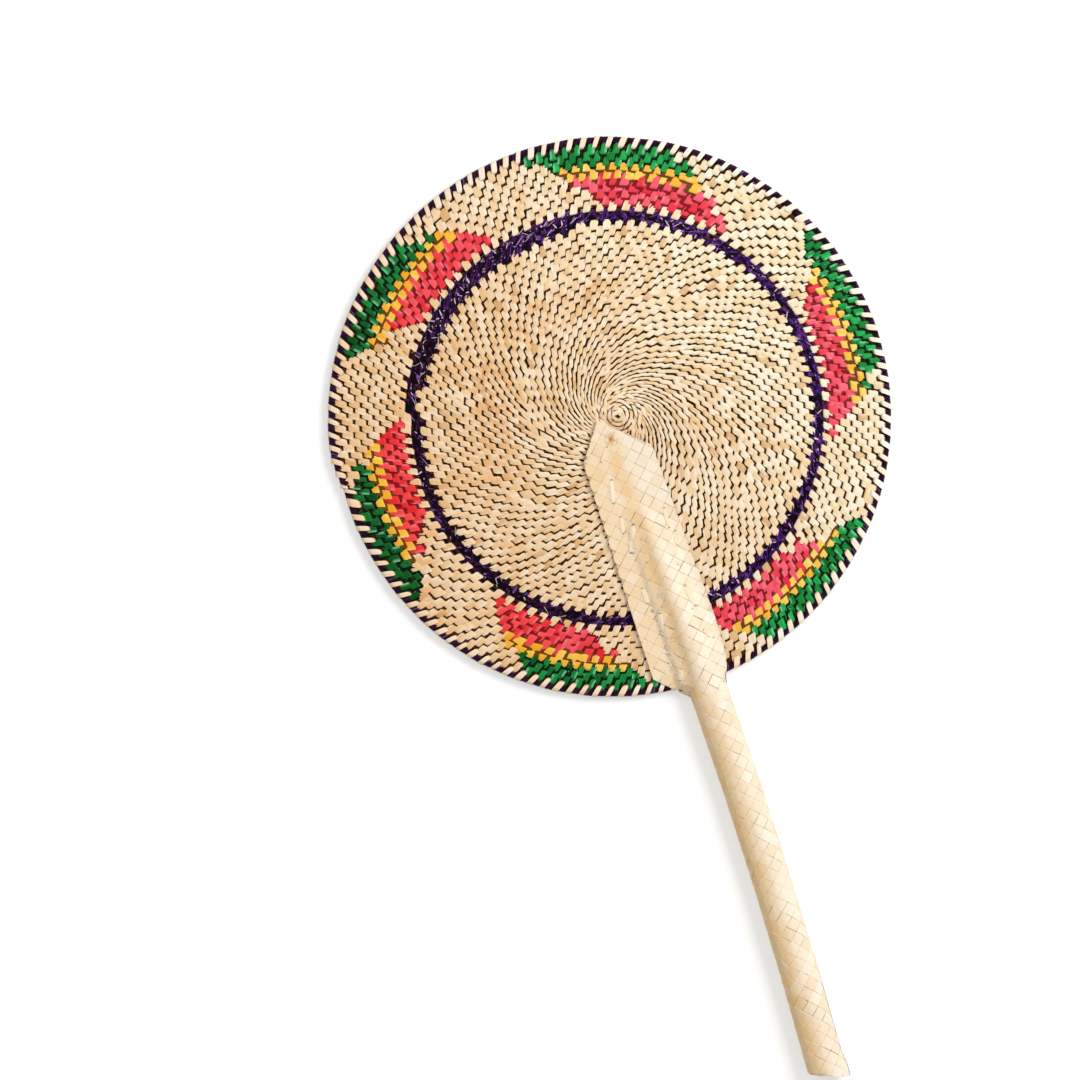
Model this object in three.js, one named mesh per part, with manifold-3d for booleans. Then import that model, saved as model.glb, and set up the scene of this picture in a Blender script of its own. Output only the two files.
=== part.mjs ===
// Hand fan of coiled basketry: a round disc wound from one unbroken coil, bound with dyed straw in six
// patches, a ring and a rim, and sewn into a plaited sleeve that covers a lapped wooden stick.
// Millimetres, +Z up. The fan lies face up, its disc centred on the Z axis and its handle towards -Y,
// with the table at z = 0.

import * as THREE from 'three';
import { mergeVertices } from 'three/addons/utils/BufferGeometryUtils.js';
import Module from 'manifold-3d';

const wasm = await Module();
wasm.setup();

const { lerp, clamp, degToRad } = THREE.MathUtils;
const turn = 2 * Math.PI;
const hair = 1e-4;            // differences below this count as none

// Space left between pieces that touch
const clearance = 0.3;

// Disc: a straw-wrapped coil that spirals outwards from the hub
const coilTurns = 24;
const coilWidth = 5.25;
const coilHeight = 4;
const coilGap = 0.5;
const coilFlat = 0.6;         // share of the coil's width that is flat on its face and back
const hubHole = 0.8;          // inner edge of the coil where it starts
const knotRadius = 4;         // knot that the coil starts from
const tailWidth = 3.2;        // the last turn thins out to this width
const tipWidth = 1.8;         // and its loose tip to this one
const tipLength = 22;
const tailAngle = degToRad(160);
const facetZones = [          // facets to a turn, fewer near the hub
  { turns: 11, facets: 16 },
  { turns: 16, facets: 24 },
  { turns: Infinity, facets: 32 },
];
const knotFacets = 16;
const drumFacets = 64;

// Dyed bindings, each wound round a thinner stretch of the coil so that the disc stays flush
const bindingWall = 0.6;
const shoulderLength = 0.4;   // length over which the coil thins out beside a binding
const ringRow = 6;            // rows are counted inwards from the rim, which is row 0
const ringRows = 2;
const patchSpans = [[-7, 26], [56, 90], [120, 150], [174, 204], [231, 260], [288, 320]];
const patchBands = [
  { name: 'green_outer', row: 1, lag: 0, color: 0x138a45 },
  { name: 'green_inner', row: 2, lag: 1.8, color: 0x138a45 },
  { name: 'yellow', row: 3, lag: 3.5, color: 0xf2b32c },
  { name: 'red_outer', row: 4, lag: 6, color: 0xe8404f },
  { name: 'red_inner', row: 5, lag: 9, color: 0xe8404f },
];

// Plaited sleeve: a tube over the grip that opens into a front and a back flap
const sleeveWall = 1.2;
const gripWidth = 19;
const gripHeight = 15;
const gripLength = 198;       // neck to butt
const gripBow = 4;            // sideways bow of the handle, towards +X
const buttSlant = degToRad(20);
const heelSwell = 1.2;        // the sleeve swells on the right, just above the butt
const heelLength = 7;
const neckOffset = 6;         // the grip's full section starts this far outside the rim
const neckLength = 16;
const flapWideLeft = 21.3;
const flapWideRight = 18;
const flapWideInset = 30;     // distance of the flap's widest place from the rim
const flapTipLeft = 20.5;
const flapTipRight = 14;
const flapApexX = -7.3;
const flapOverrun = 1;        // length that the gable cut takes off the longer flap
const frontApexY = -0.5;
const backApexY = 14;
const gableLeft = degToRad(54);
const gableRight = degToRad(42);

// Stick: whittled to a tongue that laps onto the face of the disc under the front flap
const tongueLength = 86;      // reach of the tongue inside the rim
const tongueRootWidth = 13;
const tongueTipWidth = 9;
const tongueTipRise = 2.2;
const stickRecess = 1;        // depth of the stick's end inside the sleeve's butt

// Sewing strands: flat straw in running stitch through both flaps, between the turns of the coil
const strandWidth = 2;
const strandThickness = 0.5;
const strandRecess = 0.1;     // depth of the back stitches below the back flap
const leftStrand = { x: -10.5, firstGap: 1, rowsOver: 2, rowsUnder: 1, lastGap: coilTurns - 3 };
const rightStrand = { x: 12.8, firstGap: 3, rowsOver: 2, rowsUnder: 2, lastGap: coilTurns - 11 };

// Levels and places that follow from the sizes above
const pitch = coilWidth + coilGap;
const coilSweep = coilTurns * turn;
const discBottom = sleeveWall + clearance;
const discTop = discBottom + coilHeight;
const discMiddle = discBottom + coilHeight / 2;
const flapUnder = discTop + clearance;
const flapTop = flapUnder + sleeveWall;
const rimRadius = hubHole + coilTurns * pitch + tailWidth;
const neckY = -(rimRadius + neckOffset);
const flapStartY = neckY + neckLength;
const flapWideY = -(rimRadius - flapWideInset);
const buttY = neckY - gripLength;
const tongueEndY = -(rimRadius - tongueLength);
const crownOffset = sleeveWall + clearance;
const crownFadeLength = 12;

// Closed triangle meshes and solids

function toSolid(geometry) {
  const bare = geometry.clone();
  bare.deleteAttribute('normal');
  bare.deleteAttribute('uv');
  const merged = mergeVertices(bare, hair);
  const vertProperties = merged.attributes.position.array;
  const triVerts = new Uint32Array(merged.index.array);
  return new wasm.Manifold(new wasm.Mesh({ numProp: 3, vertProperties, triVerts }));
}

function toGeometry(solid) {
  const { vertProperties, triVerts } = solid.getMesh();
  const geometry = new THREE.BufferGeometry();
  geometry.setAttribute('position', new THREE.BufferAttribute(vertProperties, 3));
  geometry.setIndex(new THREE.BufferAttribute(triVerts, 1));
  geometry.computeVertexNormals();
  return geometry;
}

// Skins a row of cross-sections into one closed solid and caps both ends. A section is a list of loops,
// the outer one and then any bore, and capLoops holds the same loops laid flat.
function skin(sections, capLoops) {
  const counts = capLoops.map((loop) => loop.length);
  const perSection = counts.reduce((sum, count) => sum + count, 0);
  const index = [];
  for (let s = 0; s < sections.length - 1; s++) {
    let start = s * perSection;
    for (const count of counts) {
      for (let i = 0; i < count; i++) {
        const a = start + i;
        const b = start + ((i + 1) % count);
        index.push(a, b, b + perSection, a, b + perSection, a + perSection);
      }
      start += count;
    }
  }
  const last = (sections.length - 1) * perSection;
  for (const [a, b, c] of THREE.ShapeUtils.triangulateShape(capLoops[0], capLoops.slice(1))) {
    index.push(a, c, b, last + a, last + b, last + c);
  }
  const geometry = new THREE.BufferGeometry().setFromPoints(sections.flat(2));
  geometry.setIndex(index);
  geometry.computeVertexNormals();
  return geometry;
}

function prism(points, bottom, top) {
  const shape = new THREE.Shape(points.map(([x, y]) => new THREE.Vector2(x, y)));
  const geometry = new THREE.ExtrudeGeometry(shape, { depth: top - bottom, bevelEnabled: false });
  return geometry.translate(0, 0, bottom);
}

function block(x, y, width, length, bottom, top) {
  const geometry = new THREE.BoxGeometry(width, length, top - bottom);
  return geometry.translate(x, y, (bottom + top) / 2);
}

function drum(radius, bottom, top) {
  const geometry = new THREE.CylinderGeometry(radius, radius, top - bottom, drumFacets);
  return geometry.rotateX(Math.PI / 2).translate(0, 0, (bottom + top) / 2);
}

// The coil's path. sweep is the angle wound from the hub, and the path is faceted at the same bearings on
// every turn, so that neighbouring turns and bindings keep an even gap.

function coilWidthAt(sweep) {
  const lastTurn = clamp((sweep - coilSweep + turn) / turn, 0, 1);
  const tipSweep = tipLength / rimRadius;
  const tip = clamp((sweep - coilSweep + tipSweep) / tipSweep, 0, 1);
  return lerp(lerp(coilWidth, tailWidth, lastTurn), tipWidth, tip);
}

function coilPoint(sweep, { x, y }) {
  const radius = hubHole + (pitch * sweep) / turn + coilWidthAt(sweep) / 2 + x;
  const bearing = tailAngle - coilSweep + sweep;
  return new THREE.Vector3(radius * Math.cos(bearing), radius * Math.sin(bearing), discMiddle + y);
}

function facetStep(sweep) {
  return turn / facetZones.find(({ turns }) => sweep < turns * turn).facets;
}

function facetedPoint(sweep, offset) {
  const step = facetStep(sweep);
  const facet = Math.min(Math.floor(sweep / step + hair), Math.round(coilSweep / step) - 1);
  const from = coilPoint(facet * step, offset(facet * step));
  const to = coilPoint((facet + 1) * step, offset((facet + 1) * step));
  return from.lerp(to, sweep / step - facet);
}

function sweepAt(bearing, row) {
  return coilSweep - THREE.MathUtils.euclideanModulo(tailAngle - bearing, turn) - row * turn;
}

// Six-sided section of the coil, drawn in from its full size by inset
function coilSection(sweep, inset) {
  const halfWidth = coilWidthAt(sweep) / 2 - inset;
  const halfHeight = coilHeight / 2 - inset;
  const halfFlat = halfWidth * coilFlat;
  return [
    [halfWidth, 0], [halfFlat, halfHeight], [-halfFlat, halfHeight],
    [-halfWidth, 0], [-halfFlat, -halfHeight], [halfFlat, -halfHeight],
  ].map(([x, y]) => new THREE.Vector2(x, y));
}

const sides = [0, 1, 2, 3, 4, 5];

function coilLoop(sweep, inset) {
  return sides.map((side) => facetedPoint(sweep, (at) => coilSection(at, inset)[side]));
}

// Facet bearings strictly between two sweeps
function facetsBetween(from, to) {
  const list = [];
  for (let sweep = 0; sweep < to - hair; sweep += facetStep(sweep + hair)) {
    if (sweep > from + hair) {
      list.push(sweep);
    }
  }
  return list;
}

// Dyed bindings

function patchBindings() {
  return patchSpans.flatMap(([start, end], patch) => patchBands.map(({ name, row, lag, color }) => ({
    name: `patch_${patch + 1}_${name}`,
    from: sweepAt(degToRad(start - lag), row),
    to: sweepAt(degToRad(end - lag), row),
    color,
  })));
}

const rimBinding = {
  name: 'rim_binding',
  from: coilSweep - turn + tipLength / rimRadius,
  to: coilSweep - (tipLength + coilWidth) / rimRadius,
  color: 0x2a1433,
};
const ringBinding = {
  name: 'ring_binding',
  from: coilSweep - (ringRow + ringRows) * turn,
  to: coilSweep - ringRow * turn,
  color: 0x4b1a7a,
};
const bindings = [rimBinding, ringBinding, ...patchBindings()];

const neckInset = bindingWall + clearance;

function bindingGeometry({ from, to }) {
  const sweeps = [from, ...facetsBetween(from, to), to].reverse();
  const sections = sweeps.map((sweep) => [coilLoop(sweep, 0), coilLoop(sweep, bindingWall).reverse()]);
  const capLoops = [coilSection(from, 0), coilSection(from, bindingWall).reverse()];
  return skin(sections, capLoops);
}

// The coil itself, thinned out wherever a binding lies on it

function coilRings() {
  const rings = [];
  let reached = 0;
  const addFacets = (to, inset) => {
    facetsBetween(reached, to).forEach((sweep) => rings.push({ sweep, inset }));
  };
  rings.push({ sweep: 0, inset: 0 });
  for (const { from, to } of [...bindings].sort((a, b) => a.from - b.from)) {
    const radius = hubHole + (pitch * from) / turn;
    const gap = clearance / radius;
    const shoulder = (clearance + shoulderLength) / radius;
    addFacets(from - shoulder, 0);
    rings.push({ sweep: from - shoulder, inset: 0 }, { sweep: from - gap, inset: neckInset });
    reached = from - gap;
    addFacets(to + gap, neckInset);
    rings.push({ sweep: to + gap, inset: neckInset }, { sweep: to + shoulder, inset: 0 });
    reached = to + shoulder;
  }
  addFacets(coilSweep, 0);
  rings.push({ sweep: coilSweep, inset: 0 });
  return rings;
}

function coilSolid() {
  const rings = coilRings().reverse();
  const loops = rings.map(({ sweep, inset }) => coilLoop(sweep, inset));
  reportLeastGap(rings, loops);
  const coil = toSolid(skin(loops.map((loop) => [loop]), [coilSection(0, 0)]));
  const halfHeight = coilHeight / 2;
  const knotProfile = [
    [0, -halfHeight], [knotRadius * coilFlat, -halfHeight], [knotRadius, 0],
    [knotRadius * coilFlat, halfHeight], [0, halfHeight],
  ].map(([x, y]) => new THREE.Vector2(x, y));
  const knot = new THREE.LatheGeometry(knotProfile, knotFacets).rotateX(Math.PI / 2);
  return coil.add(toSolid(knot.translate(0, 0, discMiddle)));
}

// Least distance between neighbouring turns, measured on the section points
function reportLeastGap(rings, loops) {
  let least = Infinity;
  rings.forEach(({ sweep }, i) => {
    const step = facetStep(sweep);
    rings.forEach((other, j) => {
      if (Math.abs(sweep - other.sweep - turn) < step) {
        loops[i].forEach((p) => loops[j].forEach((q) => {
          least = Math.min(least, p.distanceTo(q));
        }));
      }
    });
  });
  console.log(`coil: ${coilTurns} turns, least gap to itself ${least.toFixed(2)} mm`);
}

// Handle. Places along it are given by y, from the butt through the neck to the hub.

function handleBow(y) {
  const middle = (buttY + tongueEndY) / 2;
  const half = (tongueEndY - buttY) / 2;
  return gripBow * Math.max(0, 1 - ((y - middle) / half) ** 2);
}

function stickAt(y) {
  const gripHalf = gripWidth / 2 - crownOffset;
  const gripTop = gripHeight - crownOffset;
  const neck = clamp((y - neckY) / neckLength, 0, 1);
  const tongue = clamp((y - flapStartY) / (tongueEndY - flapStartY), 0, 1);
  const taper = clamp((y - neckY) / (tongueEndY - neckY), 0, 1);
  const half = lerp(lerp(gripHalf, tongueRootWidth / 2, neck), tongueTipWidth / 2, tongue);
  const top = lerp(gripTop, flapUnder + tongueTipRise, taper);
  return { x: handleBow(y), half, bottom: crownOffset, top };
}

// Ellipse round the stick, let out by offset
function stickLoop(y, offset, count) {
  const { x, half, bottom, top } = stickAt(y);
  return Array.from({ length: count }, (_, i) => {
    const angle = (turn * i) / count;
    const z = (bottom + top) / 2 + ((top - bottom) / 2 + offset) * Math.sin(angle);
    return new THREE.Vector3(x + (half + offset) * Math.cos(angle), y, z);
  });
}

function loftAlong(stations, loopAt) {
  const loops = stations.map(loopAt);
  const flat = loops[0].map(({ x, z }) => new THREE.Vector2(x, z));
  return skin(loops.map((loop) => [loop]), [flat]);
}

const buttOverrun = gripWidth;
const gripStations = [0.25, 0.5, 0.75].map((share) => lerp(neckY, buttY, share));
const stickSides = 16;

function stickStations(end) {
  return [end, flapStartY, neckY, ...gripStations, buttY, buttY - buttOverrun];
}

// Everything past the slanted butt, as one block
function buttCutter(recess) {
  const reach = 2 * gripWidth;
  const rise = reach * Math.tan(buttSlant);
  const y = buttY + recess;
  const far = y - 2 * reach;
  return toSolid(prism([[-reach, y + rise], [-reach, far], [reach, far], [reach, y - rise]], -reach, reach));
}

function stickSolid() {
  const stick = loftAlong(stickStations(tongueEndY), (y) => stickLoop(y, 0, stickSides));
  const lap = drum(rimRadius + clearance, -gripHeight, flapUnder);
  return toSolid(stick).subtract(toSolid(lap)).subtract(buttCutter(stickRecess));
}

// Outline of the flaps, as distances to the left and right of the Y axis
function flapSides(y) {
  const share = (y - flapWideY) / (frontApexY - flapWideY);
  const taper = clamp(Math.abs(share), 0, 1);
  return [lerp(flapWideLeft, flapTipLeft, taper), lerp(flapWideRight, flapTipRight, taper)];
}

// Swelling of the sleeve just above the butt
function heelAt(y) {
  const butt = buttY - (heelLength * 2) / 3;
  return heelSwell * Math.max(0, 1 - Math.abs(y - butt - heelLength) / heelLength);
}

const crownPoints = 9;
const bellyPoints = 7;
const crownLimit = degToRad(50);    // the crown meets the wings no higher up its sides than this

// Section of the sleeve: an oval round the grip, which opens into two wings beside a crown over the tongue
function sleeveLoop(y) {
  const stick = stickAt(y);
  const fade = clamp((y - tongueEndY) / crownFadeLength, 0, 1);
  const top = lerp(stick.top + crownOffset, flapTop, fade);
  const half = stick.half + crownOffset;
  const middle = top / 2;
  const opening = clamp((y - neckY) / neckLength, 0, 1);
  const junction = Math.min(Math.asin(clamp((flapTop - middle) / middle, -1, 1)), crownLimit);
  const heel = heelAt(y);
  const oval = (angle) => {
    const side = Math.cos(angle);
    const x = stick.x + half * side + (side > 0 ? heel * side : 0);
    return new THREE.Vector3(x, y, middle + middle * Math.sin(angle));
  };
  const loop = [];
  for (let i = 0; i < crownPoints; i++) {
    const point = oval(lerp(junction, Math.PI - junction, i / (crownPoints - 1)));
    point.z = Math.max(point.z, lerp(point.z, flapTop, opening));
    loop.push(point);
  }
  const [left, right] = flapSides(y);
  const wings = [
    [-left, flapTop], [-left, 0], [stick.x - half / 2, 0], [stick.x, 0],
    [stick.x + half / 2, 0], [right, 0], [right, flapTop],
  ].map(([x, z]) => new THREE.Vector3(x, y, z));
  for (let i = 0; i < bellyPoints; i++) {
    const angle = lerp(Math.PI - junction, turn + junction, (i + 1) / (bellyPoints + 1));
    loop.push(oval(angle).lerp(wings[i], opening));
  }
  return loop;
}

function gableCutter(apexY, bottom, top) {
  const reach = 2 * flapWideLeft;
  const leftDrop = reach * Math.tan(gableLeft);
  const rightDrop = reach * Math.tan(gableRight);
  return toSolid(prism([
    [flapApexX, apexY], [flapApexX + reach, apexY - rightDrop], [flapApexX + reach, apexY + reach],
    [flapApexX - reach, apexY + reach], [flapApexX - reach, apexY - leftDrop],
  ], bottom, top));
}

function sleeveSolid() {
  const neckSteps = [0.75, 0.5, 0.25].map((share) => lerp(neckY, flapStartY, share));
  const heelSteps = [heelLength * 4 / 3, heelLength / 3].map((rise) => buttY + rise);
  const sleeve = loftAlong([
    backApexY + flapOverrun, tongueEndY + crownFadeLength, tongueEndY, flapWideY, flapStartY, ...neckSteps, neckY,
    ...gripStations, ...heelSteps, buttY - buttOverrun,
  ], sleeveLoop);
  const hollow = loftAlong(stickStations(tongueEndY + clearance), (y) => stickLoop(y, clearance, stickSides));
  return toSolid(sleeve)
    .subtract(toSolid(hollow))
    .subtract(toSolid(drum(rimRadius + clearance, sleeveWall, flapUnder)))
    .subtract(gableCutter(frontApexY, discMiddle, gripHeight))
    .subtract(gableCutter(backApexY, -1, discMiddle))
    .subtract(buttCutter(0));
}

// Sewing strands

const handleSide = [degToRad(200), degToRad(340)];    // bearings on either side of the handle

// Place of the gap between two rows of the coil, on a line along the handle
function gapY(x, row) {
  const offset = (sweep) => new THREE.Vector2((coilWidthAt(sweep) + coilGap) / 2, 0);
  let low = sweepAt(handleSide[0], row + 1);
  let high = low + handleSide[1] - handleSide[0];
  for (let i = 0; i < 40; i++) {
    const middle = (low + high) / 2;
    if (facetedPoint(middle, offset).x < x) {
      low = middle;
    } else {
      high = middle;
    }
  }
  return facetedPoint(low, offset).y;
}

// Pairs of holes, one pair to each stitch on the face
function stitches({ x, firstGap, rowsOver, rowsUnder, lastGap }) {
  const list = [];
  for (let gap = firstGap; gap + rowsOver <= lastGap; gap += rowsOver + rowsUnder) {
    list.push([gapY(x, gap), gapY(x, gap + rowsOver)]);
  }
  return list;
}

const stitchFootTop = strandRecess + strandThickness;
const stitchHead = flapTop + clearance;
const stitchHeadTop = stitchHead + strandThickness;

// The strand's outline in the plane along the handle: up through one hole, over, and down the next
function strandSolid(strand) {
  const half = strandThickness / 2;
  const outer = [];
  const inner = [];
  for (const [start, end] of stitches(strand)) {
    const under = start === stitches(strand)[0][0] ? strandRecess : stitchFootTop;
    outer.push([start - half, under], [start - half, stitchHeadTop]);
    outer.push([end + half, stitchHeadTop], [end + half, stitchFootTop]);
    inner.push([start + half, strandRecess], [start + half, stitchHead]);
    inner.push([end - half, stitchHead], [end - half, strandRecess]);
  }
  outer[outer.length - 1][1] = strandRecess;
  const shape = new THREE.Shape([...outer, ...inner.reverse()].map(([y, z]) => new THREE.Vector2(y, z)));
  const geometry = new THREE.ExtrudeGeometry(shape, { depth: strandWidth, bevelEnabled: false });
  geometry.rotateX(Math.PI / 2).rotateZ(Math.PI / 2);
  return geometry.translate(strand.x - strandWidth / 2, 0, 0);
}

// Holes for the strand's legs, and grooves that take its stitches flush into the back flap
function strandHoles(strand) {
  const width = strandWidth + 2 * clearance;
  const leg = strandThickness + 2 * clearance;
  const pairs = stitches(strand);
  const holes = pairs.flat().map((y) => block(strand.x, y, width, leg, -1, stitchHeadTop));
  const grooves = pairs.slice(1).map(([start], i) => {
    const end = pairs[i][1];
    return block(strand.x, (start + end) / 2, width, Math.abs(start - end), -1, stitchFootTop + clearance);
  });
  return [...holes, ...grooves].map(toSolid).reduce((all, hole) => all.add(hole));
}

// Assembly

const natural = 0xf0d8ac;
const plaitCream = 0xf3e2c2;
const sawnWood = 0xb98d5a;
const fan = new THREE.Group();

function place(name, geometry, color, roughness) {
  const material = new THREE.MeshStandardMaterial({ color, roughness, metalness: 0 });
  const mesh = new THREE.Mesh(geometry, material);
  mesh.name = name;
  fan.add(mesh);
}

const holes = strandHoles(leftStrand).add(strandHoles(rightStrand));
place('coil', toGeometry(coilSolid().subtract(holes)), natural, 0.7);
for (const binding of bindings) {
  const solid = toSolid(bindingGeometry(binding)).subtract(holes);
  place(binding.name, toGeometry(solid), binding.color, 0.45);
}
place('plaited_sleeve', toGeometry(sleeveSolid().subtract(holes)), plaitCream, 0.65);
place('stick', toGeometry(stickSolid()), sawnWood, 0.8);
place('sewing_strand_left', strandSolid(leftStrand), plaitCream, 0.6);
place('sewing_strand_right', strandSolid(rightStrand), plaitCream, 0.6);

export default fan;
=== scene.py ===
import math
import random

import bmesh
import bpy
from mathutils import Matrix, Vector
from mathutils.bvhtree import BVHTree


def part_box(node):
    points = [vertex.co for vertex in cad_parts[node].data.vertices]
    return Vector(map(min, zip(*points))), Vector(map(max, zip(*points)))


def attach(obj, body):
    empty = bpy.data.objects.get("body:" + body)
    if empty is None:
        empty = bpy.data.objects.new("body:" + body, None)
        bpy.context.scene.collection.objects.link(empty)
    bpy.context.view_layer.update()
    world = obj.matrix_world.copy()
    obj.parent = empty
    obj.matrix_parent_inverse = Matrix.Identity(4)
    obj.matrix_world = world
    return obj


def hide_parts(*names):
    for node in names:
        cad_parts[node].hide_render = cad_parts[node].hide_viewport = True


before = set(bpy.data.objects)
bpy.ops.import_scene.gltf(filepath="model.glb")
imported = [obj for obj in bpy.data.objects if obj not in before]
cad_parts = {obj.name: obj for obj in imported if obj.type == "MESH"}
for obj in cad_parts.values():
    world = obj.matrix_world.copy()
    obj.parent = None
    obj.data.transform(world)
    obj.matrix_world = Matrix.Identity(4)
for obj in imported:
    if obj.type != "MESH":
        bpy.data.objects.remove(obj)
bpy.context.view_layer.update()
scene = bpy.context.scene
mm = 0.001
turn = 2 * math.pi
rest = bpy.context.evaluated_depsgraph_get()
print("frame: %d nodes" % len(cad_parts))


# Small helpers

def toLinear(hexColour):
    parts = [int(hexColour[i:i + 2], 16) / 255 for i in (1, 3, 5)]
    return tuple(c / 12.92 if c <= 0.04045 else ((c + 0.055) / 1.055) ** 2.4 for c in parts) + (1.0,)


def blend(a, b, share):
    return a + (b - a) * share


def between(value, low, high):
    # 0 at low, 1 at high
    return min(1.0, max(0.0, (value - low) / (high - low)))


def addNode(tree, kind, inputs=None, **settings):
    node = tree.nodes.new(kind)
    for key, value in settings.items():
        setattr(node, key, value)
    for key, value in (inputs or {}).items():
        if isinstance(value, bpy.types.NodeSocket):
            tree.links.new(value, node.inputs[key])
        else:
            node.inputs[key].default_value = value
    return node


def newMaterial(name):
    material = bpy.data.materials.new(name)
    material.use_nodes = True
    material.node_tree.nodes.clear()
    return material, material.node_tree


def seenBy(tree):
    # 1 for what the camera sees: straight, in a shine or through something
    path = addNode(tree, "ShaderNodeLightPath")
    seen = path.outputs["Is Camera Ray"]
    for ray in ("Is Glossy Ray", "Is Transmission Ray"):
        either = addNode(tree, "ShaderNodeMath", {0: seen, 1: path.outputs[ray]}, operation="MAXIMUM")
        seen = either.outputs[0]
    return seen


def vertsIn(grown):
    return [part for part in grown if isinstance(part, bmesh.types.BMVert)]


def edgesIn(grown):
    return [part for part in grown if isinstance(part, bmesh.types.BMEdge)]


def meshFrom(bm, name):
    mesh = bpy.data.meshes.new(name)
    bm.to_mesh(mesh)
    bm.free()
    return mesh


def linkedPiece(name, data):
    piece = bpy.data.objects.new(name, data)
    scene.collection.objects.link(piece)
    return piece


def finishPiece(piece, material, slot, *nodes):
    piece.data.materials.clear()
    piece.data.materials.append(material)
    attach(piece, "root")
    if nodes:
        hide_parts(*nodes)
    return piece


# Camera: straight down, turned so that the handle leans as it does in the photograph

view = {
    "centre": (-53.0, -48.2),     # point of the table in the middle of the picture
    "width": 540,                 # of the picture, on the disc
    "height": 2000,
    "turned": -18.24,
    "sensor": 36,
    "farthest": 20,               # what it sees, in m
}

camera = linkedPiece("camera", bpy.data.cameras.new("camera"))
camera.data.sensor_width = view["sensor"]
camera.data.lens = view["sensor"] * view["height"] / view["width"]
camera.location = Vector((*view["centre"], view["height"])) * mm
camera.rotation_euler = (0, 0, math.radians(view["turned"]))
camera.data.clip_end = view["farthest"]
scene.camera = camera


# Light: a broad soft lamp on the photograph's right, a weaker one opposite, and a pale room

light = {
    "room": 0.46,
    "aim": (0, -0.08, 0),
    "lamps": [
        {"name": "key", "place": (1.15, 0.25, 1.25), "size": 0.9, "watts": 21.5},
        {"name": "fill", "place": (-0.9, 0.7, 1.3), "size": 1.2, "watts": 3.5},
    ],
}

for lamp in light["lamps"]:
    data = bpy.data.lights.new(lamp["name"], "AREA")
    data.size = lamp["size"]
    data.energy = lamp["watts"]
    source = linkedPiece(lamp["name"], data)
    source.location = lamp["place"]
    aim = Vector(light["aim"]) - source.location
    source.rotation_euler = aim.to_track_quat("-Z", "Y").to_euler()

room = bpy.data.worlds.new("room")
room.use_nodes = True
tree = room.node_tree
tree.nodes.clear()
level = addNode(tree, "ShaderNodeMapRange", {"Value": seenBy(tree), "To Min": light["room"], "To Max": 1.0})
sky = addNode(tree, "ShaderNodeBackground", {"Color": (1, 1, 1, 1), "Strength": level.outputs[0]})
addNode(tree, "ShaderNodeOutputWorld", {"Surface": sky.outputs[0]})
scene.world = room
scene.view_settings.view_transform = "Standard"

# Table: white matt card, lifted to white where the camera sees it, with the fan's shadow kept
table = {
    "size": 3.2,                  # in m
    "drop": 0.7,                  # below the fan's underside
    "colour": "#DEDEDC",
    "lift": 0.42,
    "white": (0.45, 0.85),        # past the shadow, between these distances, the card grows wholly white
}

bm = bmesh.new()
bmesh.ops.create_grid(bm, x_segments=1, y_segments=1, size=table["size"] / 2)
bmesh.ops.translate(bm, verts=bm.verts, vec=(0, 0, -table["drop"] * mm))
floor = linkedPiece("floor", meshFrom(bm, "floor"))
card, tree = newMaterial("matt_white_card")
place = addNode(tree, "ShaderNodeTexCoord")
far = addNode(tree, "ShaderNodeVectorMath", {0: place.outputs["Object"]}, operation="LENGTH")
whiter = addNode(tree, "ShaderNodeMapRange", {"Value": far.outputs["Value"], "From Min": table["white"][0],
                 "From Max": table["white"][1], "To Min": table["lift"], "To Max": 1.0})
lift = addNode(tree, "ShaderNodeMath", {0: seenBy(tree), 1: whiter.outputs[0]}, operation="MULTIPLY")
glow = addNode(tree, "ShaderNodeEmission", {"Color": (1, 1, 1, 1), "Strength": lift.outputs[0]})
matt = addNode(tree, "ShaderNodeBsdfDiffuse", {"Color": toLinear(table["colour"])})
both = addNode(tree, "ShaderNodeAddShader", {0: matt.outputs[0], 1: glow.outputs[0]})
addNode(tree, "ShaderNodeOutputMaterial", {"Surface": both.outputs[0]})
floor.data.materials.append(card)
print("stage ready")


# Materials of strips. Each strip's points carry "fibre" (across and along the strip in mm, and a number of
# its own) and painted light and shade: 0 in the middle of the strip, 1 for painted shade at its dark ends and
# edges, and below 0 for a painted highlight on an edge or golden tan painted as shade on the plait.

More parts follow.
